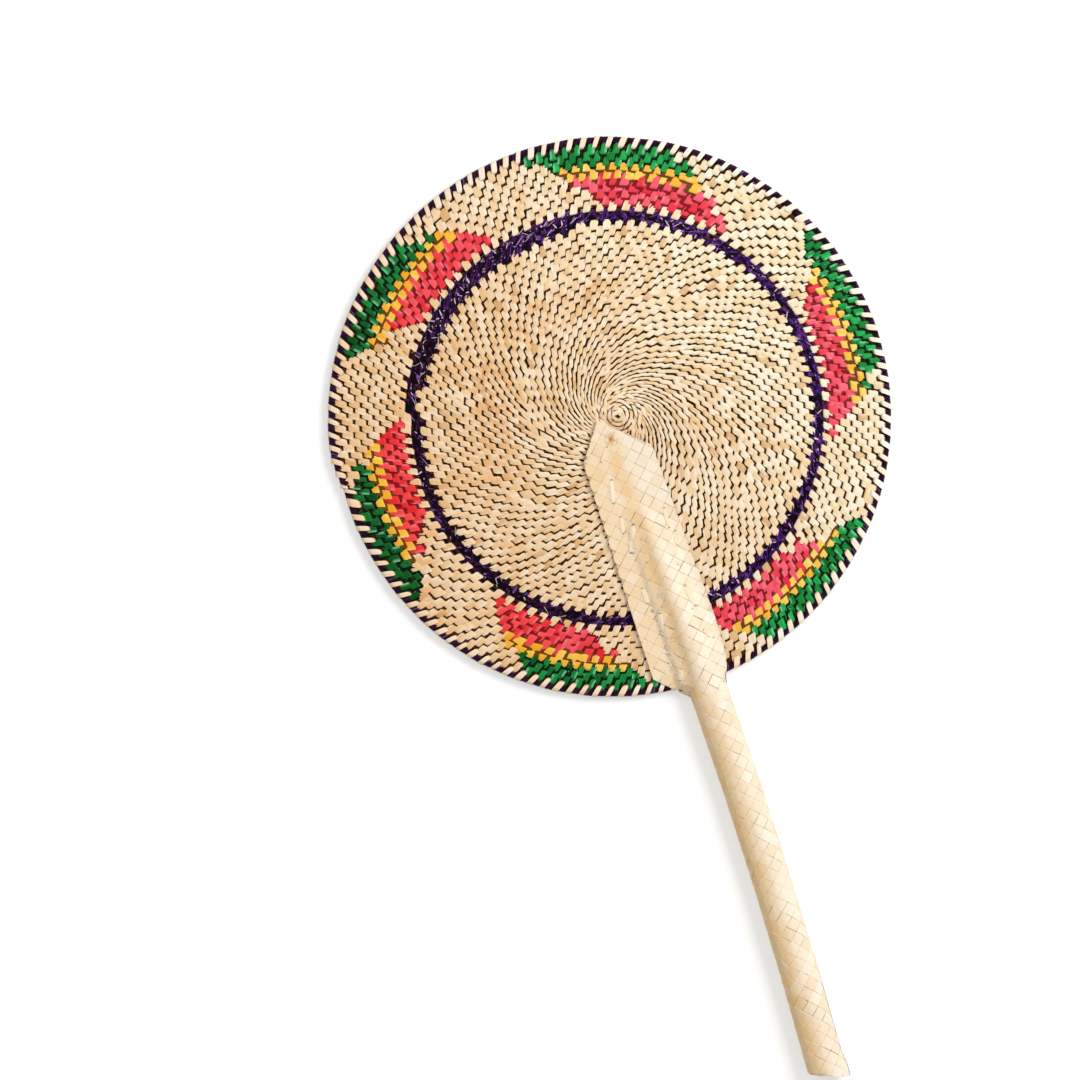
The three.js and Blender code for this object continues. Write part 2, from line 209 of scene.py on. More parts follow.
finishes = {
    # sun-dried split reed: matt, pale, streaked along the strip, cream to peach across the disc as painted
    # shade
    "split_reed": {
        "light": "#FFF5DF", "deep": "#F1D4A2", "streak": "#DBAE70", "shadeTone": "#5A360C", "edge": "#FFF8E8",
        "streakWidth": 0.45, "streakLength": 7.0, "rough": (0.6, 0.8), "bump": 0.35, "shine": 0.12,
        "streakShare": 0.5, "shadeShare": 0.75, "edgeShare": 0.5, "tint": "#F6DAC0", "tintSpan": (-0.1, 0.13),
        "odd": "#C98F56", "oddFrom": 0.95, "oddShare": 0.55,
        # redder rows: their middle radius, half width in full and at most, the side they are on in degrees,
        # and how far towards it they come in
        "band": "#F7E1C8", "bandRows": (60, 7, 11), "bandAngle": 130, "bandSide": (10, 35),
    },
    # reed of the oversewn edge: bleached by light and handling
    "bleached_reed": {
        "light": "#FFFAEE", "deep": "#FBE8CC", "streak": "#E8CBA0", "shadeTone": "#5A360C", "edge": "#FFFCF4",
        "streakWidth": 0.45, "streakLength": 7.0, "rough": (0.6, 0.8), "bump": 0.35, "shine": 0.12,
        "streakShare": 0.4, "shadeShare": 0.6, "edgeShare": 0.5, "tint": "#FBE6D2", "tintSpan": (-0.1, 0.13),
    },
    # reed dyed green in a bath: the dye takes unevenly and leaves a slight shine
    "green_dyed_reed": {
        "light": "#2AB85A", "deep": "#06601E", "streak": "#02380E", "shadeTone": "#000A02", "edge": "#8CE6AC",
        "streakWidth": 0.5, "streakLength": 6.0, "rough": (0.3, 0.45), "bump": 0.5, "shine": 0.08,
        "streakShare": 0.7, "shadeShare": 0.98, "edgeShare": 0.75, "tint": "#9CA086", "tintSpan": (0.0, 0.12),
    },
    # yellow dye over pale reed: strong, with orange where it has pooled
    "yellow_dyed_reed": {
        "light": "#FFDB6C", "deep": "#F6B234", "streak": "#E09A22", "shadeTone": "#543006", "edge": "#FFEAA6",
        "streakWidth": 0.5, "streakLength": 6.0, "rough": (0.45, 0.62), "bump": 0.35, "shine": 0.12,
        "streakShare": 0.5, "shadeShare": 0.95, "edgeShare": 0.5, "tint": "#FCE8A8", "tintSpan": (-0.08, 0.11),
    },
    # red dye over pale reed: rose to crimson from strip to strip, purer and darker red on one side of the disc
    # as painted shade
    "red_dyed_reed": {
        "light": "#FF6E80", "deep": "#E42C3E", "streak": "#C01A2C", "shadeTone": "#780610", "edge": "#FFA2AE",
        "streakWidth": 0.5, "streakLength": 6.0, "rough": (0.4, 0.56), "bump": 0.45, "shine": 0.12,
        "streakShare": 0.6, "shadeShare": 0.95, "edgeShare": 0.4, "tint": "#FDC0A4", "tintSpan": (-0.06, 0.11),
    },
    # thin purple fibre: nearly black in its shade, darker and redder on one side of the disc as painted shade,
    # bluer on the other
    "purple_dyed_fibre": {
        "light": "#682A94", "deep": "#2A0B3C", "streak": "#16061E", "shadeTone": "#060109", "edge": "#9668B8",
        "streakWidth": 0.3, "streakLength": 5.0, "rough": (0.3, 0.45), "bump": 0.4, "shine": 0.05,
        "streakShare": 0.6, "shadeShare": 0.98, "edgeShare": 0.4, "tint": "#987858", "tintSpan": (-0.06, 0.1),
        "odd": "#8A5CAC", "oddFrom": 0.9, "oddShare": 0.7,
    },
    # the same fibre on the rim, darkened by handling
    "rim_purple_fibre": {
        "light": "#42183C", "deep": "#15050F", "streak": "#0D0309", "shadeTone": "#060204", "edge": "#6E4464",
        "streakWidth": 0.3, "streakLength": 5.0, "rough": (0.3, 0.45), "bump": 0.4, "shine": 0.06,
        "streakShare": 0.6, "shadeShare": 0.9, "edgeShare": 0.4, "odd": "#8C6CA0", "oddFrom": 0.95,
        "oddShare": 0.6,
    },
    # fibre that the dye didn't reach: fine, pale and silky; laid over the ring it also stands in for glints,
    # as painted highlights
    "pale_fibre_glints": {
        "light": "#F8E4E2", "deep": "#B48CB8", "streak": "#94689C", "shadeTone": "#5A3668", "edge": "#FFF6F2",
        "streakWidth": 0.2, "streakLength": 4.0, "rough": (0.4, 0.55), "bump": 0.2, "shine": 0.2,
        "streakShare": 0.4, "shadeShare": 0.5, "edgeShare": 0.4,
    },
    # scraped leaf strips of the plait: cream, smooth, with fine veins along the strip, and golden tan painted
    # as shade on the flanks that face away from the light
    "plaited_leaf": {
        "light": "#FCF0DE", "deep": "#F4DEC0", "streak": "#E8CCA0", "shadeTone": "#2E1C08", "edge": "#EFC88C",
        "streakWidth": 0.6, "streakLength": 18.0, "rough": (0.5, 0.66), "bump": 0.2, "shine": 0.2,
        "streakShare": 0.4, "shadeShare": 0.85, "edgeShare": 0.9,
        "stain": "#C07A24", "stainShare": 1.0, "stainPlace": (-3.6, -11.9, 7.1), "stainReach": 4.4,
    },
    # flat straw of the sewing: pale, with painted shade where it dives into the plait
    "sewing_straw": {
        "light": "#FCEED2", "deep": "#F4DEB8", "streak": "#E0C492", "shadeTone": "#2E1C08", "edge": "#FFFBEF",
        "streakWidth": 0.4, "streakLength": 12.0, "rough": (0.55, 0.7), "bump": 0.2, "shine": 0.1,
        "streakShare": 0.4, "shadeShare": 0.92, "edgeShare": 0.3,
    },
}


# What the strips' materials have in common: sizes in m, and spans of the noise over which a mark comes in
grain = {
    "apart": 3.7,               # no two strips have the same streaks
    "streakSpan": (0.48, 0.78),
    "roughSpan": (0.3, 0.7),
    "bumpDepth": 0.25 * mm,
    "tintSide": (-0.996, -0.087, 0),    # the tint, a painted shade, grows this way, away from the key lamp
    "cloudSize": 0.03,
    "cloudSpan": (0.3, 0.7),
    "cloudShare": 0.25,         # of the tint's span
    "spotSize": 0.005,
    "spotSpan": (0.3, 0.65),
    "blotSize": 0.0024,
    "blotSpan": (0.36, 0.52),
    "oddStep": 0.02,
    "shadeFrom": 0.35,
}


def stripMaterial(name):
    finish = finishes[name]
    layers = []                 # where a colour shows, its name, and how it is laid on
    material, tree = newMaterial(name)
    fibre = addNode(tree, "ShaderNodeAttribute", attribute_name="fibre")
    paintedShading = addNode(tree, "ShaderNodeAttribute", attribute_name="paintedShading")
    parts = addNode(tree, "ShaderNodeSeparateXYZ", {0: fibre.outputs["Vector"]})
    stretch = (1 / finish["streakWidth"], 1 / finish["streakLength"], grain["apart"])
    drawn = addNode(tree, "ShaderNodeVectorMath", {0: fibre.outputs["Vector"], 1: stretch},
                    operation="MULTIPLY")
    streak = addNode(tree, "ShaderNodeTexNoise", {"Vector": drawn.outputs[0], "Scale": 1.0, "Detail": 4.0,
                     "Roughness": 0.6})
    own = addNode(tree, "ShaderNodeTexWhiteNoise", {"W": parts.outputs["Z"]}, noise_dimensions="1D")
    colour = addNode(tree, "ShaderNodeMix", {0: own.outputs["Value"], 6: toLinear(finish["light"]),
                     7: toLinear(finish["deep"])}, data_type="RGBA").outputs[2]
    if "tint" in finish:
        # painted shade: darker and warmer towards the side of the disc away from the key lamp, with its edge
        # broken in clouds of about 30 mm
        low, high = finish["tintSpan"]
        place = addNode(tree, "ShaderNodeTexCoord")
        side = addNode(tree, "ShaderNodeVectorMath", {0: place.outputs["Object"], 1: grain["tintSide"]},
                       operation="DOT_PRODUCT")
        clouds = addNode(tree, "ShaderNodeTexNoise", {"Vector": place.outputs["Object"],
                         "Scale": 1 / grain["cloudSize"], "Detail": 2.0})
        cloud = addNode(tree, "ShaderNodeMapRange", {"Value": clouds.outputs[0],
                        "From Min": grain["cloudSpan"][0], "From Max": grain["cloudSpan"][1],
                        "To Min": grain["cloudShare"] * (low - high),
                        "To Max": grain["cloudShare"] * (high - low)})
        broad = addNode(tree, "ShaderNodeMath", {0: side.outputs["Value"], 1: cloud.outputs[0]})
        share = addNode(tree, "ShaderNodeMapRange", {"Value": broad.outputs[0], "From Min": low,
                        "From Max": high})
        layers.append((share.outputs[0], "tint", "MULTIPLY"))
    if "band" in finish:
        # rows wound from a redder bundle, over a part of the turn, in spots of about 5 mm
        middle, full, reach = (size * mm for size in finish["bandRows"])
        angle = math.radians(finish["bandAngle"])
        place = addNode(tree, "ShaderNodeTexCoord")
        radius = addNode(tree, "ShaderNodeVectorMath", {0: place.outputs["Object"]}, operation="LENGTH")
        off = addNode(tree, "ShaderNodeMath", {0: radius.outputs["Value"], 1: middle}, operation="SUBTRACT")
        off = addNode(tree, "ShaderNodeMath", {0: off.outputs[0]}, operation="ABSOLUTE")
        rows = addNode(tree, "ShaderNodeMapRange", {"Value": off.outputs[0], "From Min": reach,
                       "From Max": full})
        side = addNode(tree, "ShaderNodeVectorMath", {0: place.outputs["Object"],
                       1: (math.cos(angle), math.sin(angle), 0)}, operation="DOT_PRODUCT")
        side = addNode(tree, "ShaderNodeMapRange", {"Value": side.outputs["Value"],
                       "From Min": finish["bandSide"][0] * mm, "From Max": finish["bandSide"][1] * mm})
        spots = addNode(tree, "ShaderNodeTexNoise", {"Vector": place.outputs["Object"],
                        "Scale": 1 / grain["spotSize"], "Detail": 2.0})
        spots = addNode(tree, "ShaderNodeMapRange", {"Value": spots.outputs[0],
                        "From Min": grain["spotSpan"][0], "From Max": grain["spotSpan"][1]})
        share = addNode(tree, "ShaderNodeMath", {0: rows.outputs[0], 1: side.outputs[0]},
                        operation="MULTIPLY")
        share = addNode(tree, "ShaderNodeMath", {0: share.outputs[0], 1: spots.outputs[0]},
                        operation="MULTIPLY")
        layers.append((share.outputs[0], "band", "MULTIPLY"))
    share = addNode(tree, "ShaderNodeMapRange", {"Value": streak.outputs[0],
                    "From Min": grain["streakSpan"][0], "From Max": grain["streakSpan"][1],
                    "To Max": finish["streakShare"]})
    layers.append((share.outputs[0], "streak", "MIX"))
    if "stain" in finish:
        # one stain, blotted in spots of about 2.4 mm
        place = addNode(tree, "ShaderNodeTexCoord")
        spot = tuple(p * mm for p in finish["stainPlace"])
        far = addNode(tree, "ShaderNodeVectorMath", {0: place.outputs["Object"], 1: spot},
                      operation="DISTANCE")
        share = addNode(tree, "ShaderNodeMapRange", {"Value": far.outputs["Value"], "From Min": 0.0,
                        "From Max": finish["stainReach"] * mm, "To Min": finish["stainShare"], "To Max": 0.0})
        blot = addNode(tree, "ShaderNodeTexNoise", {"Vector": place.outputs["Object"],
                       "Scale": 1 / grain["blotSize"], "Detail": 3.0})
        blot = addNode(tree, "ShaderNodeMapRange", {"Value": blot.outputs[0],
                       "From Min": grain["blotSpan"][0], "From Max": grain["blotSpan"][1]})
        share = addNode(tree, "ShaderNodeMath", {0: share.outputs[0], 1: blot.outputs[0]},
                        operation="MULTIPLY")
        layers.append((share.outputs[0], "stain", "MIX"))
    if "odd" in finish:
        # a few strips of another tone
        share = addNode(tree, "ShaderNodeMapRange", {"Value": own.outputs["Value"],
                        "From Min": finish["oddFrom"], "From Max": finish["oddFrom"] + grain["oddStep"],
                        "To Max": finish["oddShare"]})
        layers.append((share.outputs[0], "odd", "MIX"))
    # painted highlight in the edge colour below 0, painted shade in the darkest tone above 0
    share = addNode(tree, "ShaderNodeMapRange", {"Value": paintedShading.outputs["Fac"], "From Min": 0.0,
                    "From Max": -1.0, "To Max": finish["edgeShare"]})
    layers.append((share.outputs[0], "edge", "MIX"))
    share = addNode(tree, "ShaderNodeMapRange", {"Value": paintedShading.outputs["Fac"], "From Min": grain["shadeFrom"],
                    "From Max": 1.0, "To Max": finish["shadeShare"]})
    layers.append((share.outputs[0], "shadeTone", "MIX"))
    for shown, tone, way in layers:
        colour = addNode(tree, "ShaderNodeMix", {0: shown, 6: colour, 7: toLinear(finish[tone])},
                         data_type="RGBA", blend_type=way).outputs[2]
    rough = addNode(tree, "ShaderNodeMapRange", {"Value": streak.outputs[0],
                    "From Min": grain["roughSpan"][0], "From Max": grain["roughSpan"][1],
                    "To Min": finish["rough"][0], "To Max": finish["rough"][1]})
    bump = addNode(tree, "ShaderNodeBump", {"Height": streak.outputs[0], "Strength": finish["bump"],
                   "Distance": grain["bumpDepth"]})
    skin = addNode(tree, "ShaderNodeBsdfPrincipled", {"Base Color": colour, "Roughness": rough.outputs[0],
                   "Normal": bump.outputs[0], "IOR": 1.45, "Specular IOR Level": finish["shine"]})
    addNode(tree, "ShaderNodeOutputMaterial", {"Surface": skin.outputs[0]})
    return material


def foundationMaterial():
    # bundle of dry brown grass in the middle of the coil, seen only in the gaps: dull, in blades of 2.5 mm,
    # and the grass's brown darkened as painted shade in those gaps
    material, tree = newMaterial("dry_grass_bundle")
    place = addNode(tree, "ShaderNodeTexCoord")
    blades = addNode(tree, "ShaderNodeTexNoise", {"Vector": place.outputs["Object"], "Scale": 1 / 0.0025,
                     "Detail": 4.0})
    colour = addNode(tree, "ShaderNodeMix", {0: blades.outputs[0], 6: toLinear("#221003"),
                     7: toLinear("#5A350C")}, data_type="RGBA")
    bump = addNode(tree, "ShaderNodeBump", {"Height": blades.outputs[0], "Strength": 0.6,
                   "Distance": 0.4 * mm})
    skin = addNode(tree, "ShaderNodeBsdfPrincipled", {"Base Color": colour.outputs[2], "Roughness": 0.85,
                   "Normal": bump.outputs[0], "Specular IOR Level": 0.08})
    addNode(tree, "ShaderNodeOutputMaterial", {"Surface": skin.outputs[0]})
    return material


def liningMaterial():
    # the plait's under layer: the same leaf in shade, tan, with a fine cross weave of 2.4 mm
    material, tree = newMaterial("leaf_under_layer")
    place = addNode(tree, "ShaderNodeTexCoord")
    turned = addNode(tree, "ShaderNodeMapping", {"Vector": place.outputs["Object"],
                     "Rotation": (0, 0, math.radians(45))})
    weave = addNode(tree, "ShaderNodeTexChecker", {"Vector": turned.outputs[0], "Scale": 1 / 0.0024,
                    "Color1": toLinear("#EAD2A4"), "Color2": toLinear("#DDC08C")})
    veins = addNode(tree, "ShaderNodeTexNoise", {"Vector": place.outputs["Object"], "Scale": 1 / 0.0012,
                    "Detail": 3.0})
    share = addNode(tree, "ShaderNodeMath", {0: veins.outputs[0], 1: 0.5}, operation="MULTIPLY")
    colour = addNode(tree, "ShaderNodeMix", {0: share.outputs[0], 6: weave.outputs["Color"],
                     7: toLinear("#B98F54")}, data_type="RGBA")
    bump = addNode(tree, "ShaderNodeBump", {"Height": weave.outputs["Fac"], "Strength": 0.4,
                   "Distance": 0.2 * mm})
    skin = addNode(tree, "ShaderNodeBsdfPrincipled", {"Base Color": colour.outputs[2], "Roughness": 0.65,
                   "Normal": bump.outputs[0]})
    addNode(tree, "ShaderNodeOutputMaterial", {"Surface": skin.outputs[0]})
    return material


def stickMaterial():
    # whittled softwood: pale, with long grain of about 1.5 mm along the handle and knife marks
    material, tree = newMaterial("whittled_softwood")
    place = addNode(tree, "ShaderNodeTexCoord")
    drawn = addNode(tree, "ShaderNodeMapping", {"Vector": place.outputs["Object"], "Scale": (1, 0.06, 1)})
    grain = addNode(tree, "ShaderNodeTexNoise", {"Vector": drawn.outputs[0], "Scale": 1 / 0.0015,
                    "Detail": 5.0, "Distortion": 0.4})
    colour = addNode(tree, "ShaderNodeMix", {0: grain.outputs[0], 6: toLinear("#8C6335"),
                     7: toLinear("#D9B583")}, data_type="RGBA")
    bump = addNode(tree, "ShaderNodeBump", {"Height": grain.outputs[0], "Strength": 0.4,
                   "Distance": 0.3 * mm})
    skin = addNode(tree, "ShaderNodeBsdfPrincipled", {"Base Color": colour.outputs[2], "Roughness": 0.7,
                   "Normal": bump.outputs[0]})
    addNode(tree, "ShaderNodeOutputMaterial", {"Surface": skin.outputs[0]})
    return material


materials = {name: stripMaterial(name) for name in finishes}
print("materials ready")


# Shapes that are stamped many times

def stripTemplate(name, sides, stations):
    # closed strip: its section lies in XZ and its length runs along Y, from 0 to 1
    bm = bmesh.new()
    bmesh.ops.create_circle(bm, segments=sides, radius=1)
    bmesh.ops.rotate(bm, verts=bm.verts, matrix=Matrix.Rotation(math.pi / 2, 3, "X"))
    edges = bm.edges[:]
    for i in range(stations - 1):
        grown = bmesh.ops.extrude_edge_only(bm, edges=edges)["geom"]
        edges = edgesIn(grown)
        bmesh.ops.translate(bm, verts=vertsIn(grown), vec=(0, 1 / (stations - 1), 0))
    bmesh.ops.holes_fill(bm, edges=bm.edges[:], sides=sides)
    bmesh.ops.recalc_face_normals(bm, faces=bm.faces[:])
    for face in bm.faces:
        face.smooth = True
    for edge in bm.edges:
        ys = [vert.co.y for vert in edge.verts]
        edge.smooth = ys[0] == ys[1] and 0.01 < ys[0] < 0.99    # crisp along the strip and round its ends
    return meshFrom(bm, name)


def cellTemplate(name, border):
    # closed tile: its top lies at z = 0 and its skirt at z = -1, with x across and y along the strip,
    # and a narrow border runs round it
    bm = bmesh.new()
    bmesh.ops.create_grid(bm, x_segments=6, y_segments=6, size=1)
    for vert in bm.verts:
        for axis in (0, 1):
            if 0.5 < abs(vert.co[axis]) < 0.9:
                vert.co[axis] = math.copysign(border, vert.co[axis])
    edges = [edge for edge in bm.edges if edge.is_boundary]
    for edge in bm.edges:
        middle = (edge.verts[0].co + edge.verts[1].co) / 2
        edge.smooth = abs(max(abs(middle.x), abs(middle.y)) - border) > 0.01    # crisp between top and border
    grown = bmesh.ops.extrude_edge_only(bm, edges=edges)["geom"]
    bmesh.ops.translate(bm, verts=vertsIn(grown), vec=(0, 0, -1))
    bmesh.ops.holes_fill(bm, edges=edgesIn(grown), sides=0)
    bmesh.ops.recalc_face_normals(bm, faces=bm.faces[:])
    for face in bm.faces:
        face.smooth = True
    return meshFrom(bm, name)


def stampPiece(name, template, jobs, place):
    # one copy of the template for each job, moved point by point
    bm = bmesh.new()
    for job in jobs:
        bm.from_mesh(template)
    fibre = bm.verts.layers.float_vector.new("fibre")
    paintedShading = bm.verts.layers.float.new("paintedShading")
    bm.verts.ensure_lookup_table()
    corners = [v.co.copy() for v in template.vertices]
    for i, job in enumerate(jobs):
        for k, corner in enumerate(corners):
            vert = bm.verts[i * len(corners) + k]
            vert.co, vert[fibre], vert[paintedShading] = place(job, corner)
    return linkedPiece(name, meshFrom(bm, name))


bandShape = stripTemplate("band_shape", 6, 6)
wrapShape = stripTemplate("wrap_shape", 6, 13)
strandShape = stripTemplate("strand_shape", 4, 5)
windShape = stripTemplate("wind_shape", 4, 9)
cellShape = cellTemplate("cell_shape", 0.9)
seeds = (1, 900)                # numbers of the strips' own, for their tone and streaks


# Disc: one spiral of bound coil. Places along it are given by sweep, the angle wound inwards from the tail.

disc = {
    "rim": 141.0,               # outer edge where the coil ends
    "hub": 0.5,
    "hubPlace": (2.9, -0.95),   # the hub lies a little beside the middle of the rim
    "rimPlace": (-0.26, -1.48),
    "bulge": (1.33, -2.13),     # and the rows between them bulge to one side
    "pitch": 3.07,              # width of a row
    "hubPitch": 1.6,            # near the hub
    "fullPitch": 30,            # radius from which rows have their full width
    "widen": 0.7,               # power by which they widen up to there
    "tail": math.radians(176),
    "dyeStart": math.radians(160),    # rows of dye are counted from here
    "tipLength": 22,            # the coil's end thins out over this length
    "tipDrop": 2.2,
    "steps": 72,                # points to a turn
    "middle": 3.5,              # level of the coil's middle
    "core": 1.3,                # half height of the grass bundle
    "coreShare": 0.52,          # of a row's width, where the row is narrow
    "coreLeast": 0.8,           # least such width
    "coreSteps": 48,            # points to a turn
    "web": (2.6, 0.8),          # layer between its rounds: distance from the rim, and thickness
    "webSides": 96,
}


def polar(radius, angle, z):
    share = min(1.0, radius / disc["rim"])
    middle = [blend(hub, rim, share) + 4 * share * (1 - share) * bulge
              for hub, rim, bulge in zip(disc["hubPlace"], disc["rimPlace"], disc["bulge"])]
    return Vector((middle[0] + radius * math.cos(angle), middle[1] + radius * math.sin(angle), z)) * mm


radii = [disc["rim"]]
while radii[-1] > disc["hub"]:
    share = min(1.0, radii[-1] / disc["fullPitch"]) ** disc["widen"]
    radii.append(radii[-1] - blend(disc["hubPitch"], disc["pitch"], share) / disc["steps"])
fullSweep = (len(radii) - 2) / disc["steps"] * turn


def spiralRadius(sweep):
    # outer edge of the row at that sweep
    spot = min(max(sweep, 0), fullSweep) / turn * disc["steps"]
    i = int(spot)
    edge = blend(radii[i], radii[i + 1], spot - i)
    tip = max(0, 1 - sweep * disc["rim"] / disc["tipLength"])
    return edge - disc["tipDrop"] * tip * tip


def slantAt(radius, face):
    # lean of the stitches from the spoke, larger towards the hub and on the back
    lean = min(slant["rim"] + slant["more"] * math.exp(-radius / slant["fade"]), slant["most"])
    share, extra, most = slant["back"]
    return math.tan(math.radians(lean if face > 0 else -min(share * lean + extra, most)))


def columnSlant(radius, face):
    # columns of stitches lean less than the stitches, which leaves a dark step beside each inner half
    lean = slantAt(radius, face)
    return lean - face * stitch["step"] * math.sqrt(1 + lean * lean)


# Stitches: each binds two rows, and those of the next row stand between them, like a brick wall on end

slant = {"rim": 13, "more": 62, "fade": 42, "most": 48, "back": (1.3, 8, 70)}    # in degrees
stitch = {
    "pitches": ((0, 3.0), (18, 3.2), (45, 5.6), (70, 5.75), (145, 6.8)),    # along a row, by radius
    "cover": 1.02,              # a strip's inner half lies over its neighbours' outer halves
    "hubCover": 1.72,           # near the hub each strip binds little more than its own row and is wider
    "hubZone": (9, 20),         # radii between which that changes
    "hubRows": 1.12,
    "hubDash": 0.3,             # and the gaps are larger there
    "hubClosed": 0.2,           # but that share of the strips laps over the next row
    "hubLap": -0.55,
    "step": 0.26,
    "taper": 0.1,               # it narrows a little at its tucked end
    "swell": 0.22,              # and it bulges over the middle of each of its rows
    "swellZone": (25, 60),      # between these radii that comes in
    "dash": (0.6, 1.1),         # dark gap at the inner end
    "rise": 0.55,               # thickness
    "bed": 1.22,                # underside at the outer end, from the middle of the coil
    "climb": 0.28,              # how much higher the inner end lies
    "tuck": 0.8,                # how far the inner end dives
    "rimLap": 0.75,             # the first row inside the rim starts that much further out
    "jitter": 0.06,
    "spread": (0.2, 0.12, 0.05),    # shares of a step
    "most": 20000,
    "lastTurn": 1.3,            # no stitch starts within so many turns of the hub's end
    "least": 1.2,               # shorter ones are left out
    "gapMost": 1.5,             # widest room, in pitches
    "dashMost": 0.34,           # of the stitch's length
    "endStray": (-0.15, 0.15),
    "widthStray": (0.93, 1.07),
    "leanStray": (0.9, 1.1),
    "riseStray": (0.88, 1.05),
    "tilt": (0.0, 0.14),
    "twist": (-0.4, 0.4),
    "sunk": (0.0, 0.16),
    "lapTuck": 0.2,             # a strip that laps over the next row hardly dives
    "pull": (1.35, 0.08, 0.14),    # beside a stitch that was left out: wider, moved and turned
    "crowd": 1.7,               # points lie closer towards the inner end
    "endZone": (0.8, 1.0),      # the inner end, as shares of the length
    "square": 0.22,             # of the section: the smaller, the squarer
    "startDrop": 0.35,          # of the outer end
    # painted shade at the outer end, where it comes out from under the row before, and along the edges
    "startShade": 0.5,
    "edgeShade": 0.6,
    "sheenBelow": 0.2,          # a painted highlight goes on one edge where the painted shade is less than this
}


def stitchPitch(radius):
    for (low, near), (high, far) in zip(stitch["pitches"], stitch["pitches"][1:]):
        if radius <= high:
            return blend(near, far, (radius - low) / (high - low))


def coverAt(radius):
    return blend(stitch["hubCover"], stitch["cover"], between(radius, *stitch["hubZone"]))


def rowsAt(radius):
    # how many rows a stitch spans
    return blend(stitch["hubRows"], 2, between(radius, *stitch["hubZone"]))


def stitchSweeps(face, chance):
    sweeps = []
    sweep = 0.0
    while sweep < turn:
        sweeps.append(sweep)
        sweep += stitchPitch(disc["rim"]) / disc["rim"]
    sweeps.append(turn)
    spare = 0.0
    owed = []
    pulls = {}
    for i in range(stitch["most"]):
        middle = (sweeps[i] + sweeps[i + 1]) / 2
        if middle + stitch["lastTurn"] * turn >= fullSweep:
            break
        outer = spiralRadius(middle)
        inner = spiralRadius(middle + turn)
        step = sweeps[i + 1] - sweeps[i]
        spare += 1 - step * inner / stitchPitch(inner)
        if spare >= 1:
            # leave one stitch out, and let its neighbours on both sides share the room
            spare -= 1
            for k, share in enumerate(stitch["spread"]):
                sweeps[-1 - k] += share * step
            owed = [-share for share in stitch["spread"]]
            pulls[i] = 1
            pulls[i + 1] = -1
            continue
        shift = columnSlant(inner, face) * math.log(outer / inner)
        stray = (owed.pop(0) if owed else 0) + chance.uniform(-1, 1) * stitch["jitter"]
        sweeps.append(middle + turn - shift + stray * step)
    return sweeps, pulls


patches = {
    "spans": [(-7.1, 25.5), (56.2, 90.1), (119.8, 149.8), (174.4, 204.2), (231.5, 260.2), (287.8, 320.5)],
    "lag": 1.85,                # each row starts that many degrees further clockwise
    "ragged": 0.9,
    "shortRow": 4,              # the first yellow row is short, and the red below it reaches up to it
    "shortBy": 1.5,
    "greenWidth": (0.66, 0.96),    # the green strips are narrower and show more of what is under them
    "yellowWidth": 1.14,
    "splits": 2,                # fine split fibres to a green strip, most with a painted highlight on one side
    "splitReach": (1.0, 2.8),
    "splitHalf": (0.13, 0.26),
    "splitLean": (-0.9, 0.9),
    "splitRise": 0.35,
    "splitSunk": -0.1,
    "splitEnd": 1.0,            # none starts closer to the inner end
    "underDepth": 0.45,         # the turns under the strips lie deeper, are wider and reach further in
    "underWidth": 1.9,
    "underEnds": (0.4, 0.9),
    "rows": {1: "green", 2: "green", 3: "green", 4: "yellow", 5: "yellow",
             6: "red", 7: "red", 8: "red", 9: "red"},
}
ring = {
    "rows": (11, 12),
    "wideRow": 13,              # purple too over a part of the turn
    "wideSpan": (82, 152),
    "strands": 5,               # to a stitch
    "reach": (1.4, 3.4),        # of a strand, across the ring
    "lean": (-0.6, 2.4),        # they run along the ring as much as across it
    "half": (0.3, 0.8),
    "rise": (0.6, 1.1),         # shares of a stitch's thickness
    "spread": 1.1,              # to both sides, in halves of a stitch
    "edge": 0.1,                # bare edge of the ring
    "sink": (0.05, 0.4),
    "underDepth": 0.6,          # the under layer lies deeper and is wider
    "underWidth": 2.3,
    "frays": 3,                 # fine pale fibres to a stitch at most, which also serve as painted highlights
    "frayShare": 0.3,
    "frayMore": 0.75,           # in the wide part
    "frayHalf": (0.16, 0.36),
    "frayShift": (-2.4, 2.4),
    "frayStart": (-0.4, 3.4),
    "frayReach": (0.5, 0.6, 0.8, 1.2, 2.6),
    "frayLean": (-1.6, 2.6),
    "frayRise": 0.3,
    "fraySunk": -0.3,
}


def inWidePart(angle):
    start, end = ring["wideSpan"]
    return (math.degrees(angle) - start) % 360 < end - start


def zoneAt(row, angle, chance):
    degrees = math.degrees(angle)
    if row in ring["rows"]:
        return "ring"
    if row == ring["wideRow"] and inWidePart(angle):
        return "ring"
    if row in patches["rows"]:
        ragged = chance.uniform(-1, 1) * patches["ragged"] if chance else 0
        for i, (start, end) in enumerate(patches["spans"]):
            if (degrees - start + patches["lag"] * (row - 1) + ragged) % 360 < end - start:
                return "patch_%d_%s" % (i + 1, patches["rows"][row])
    return "natural"


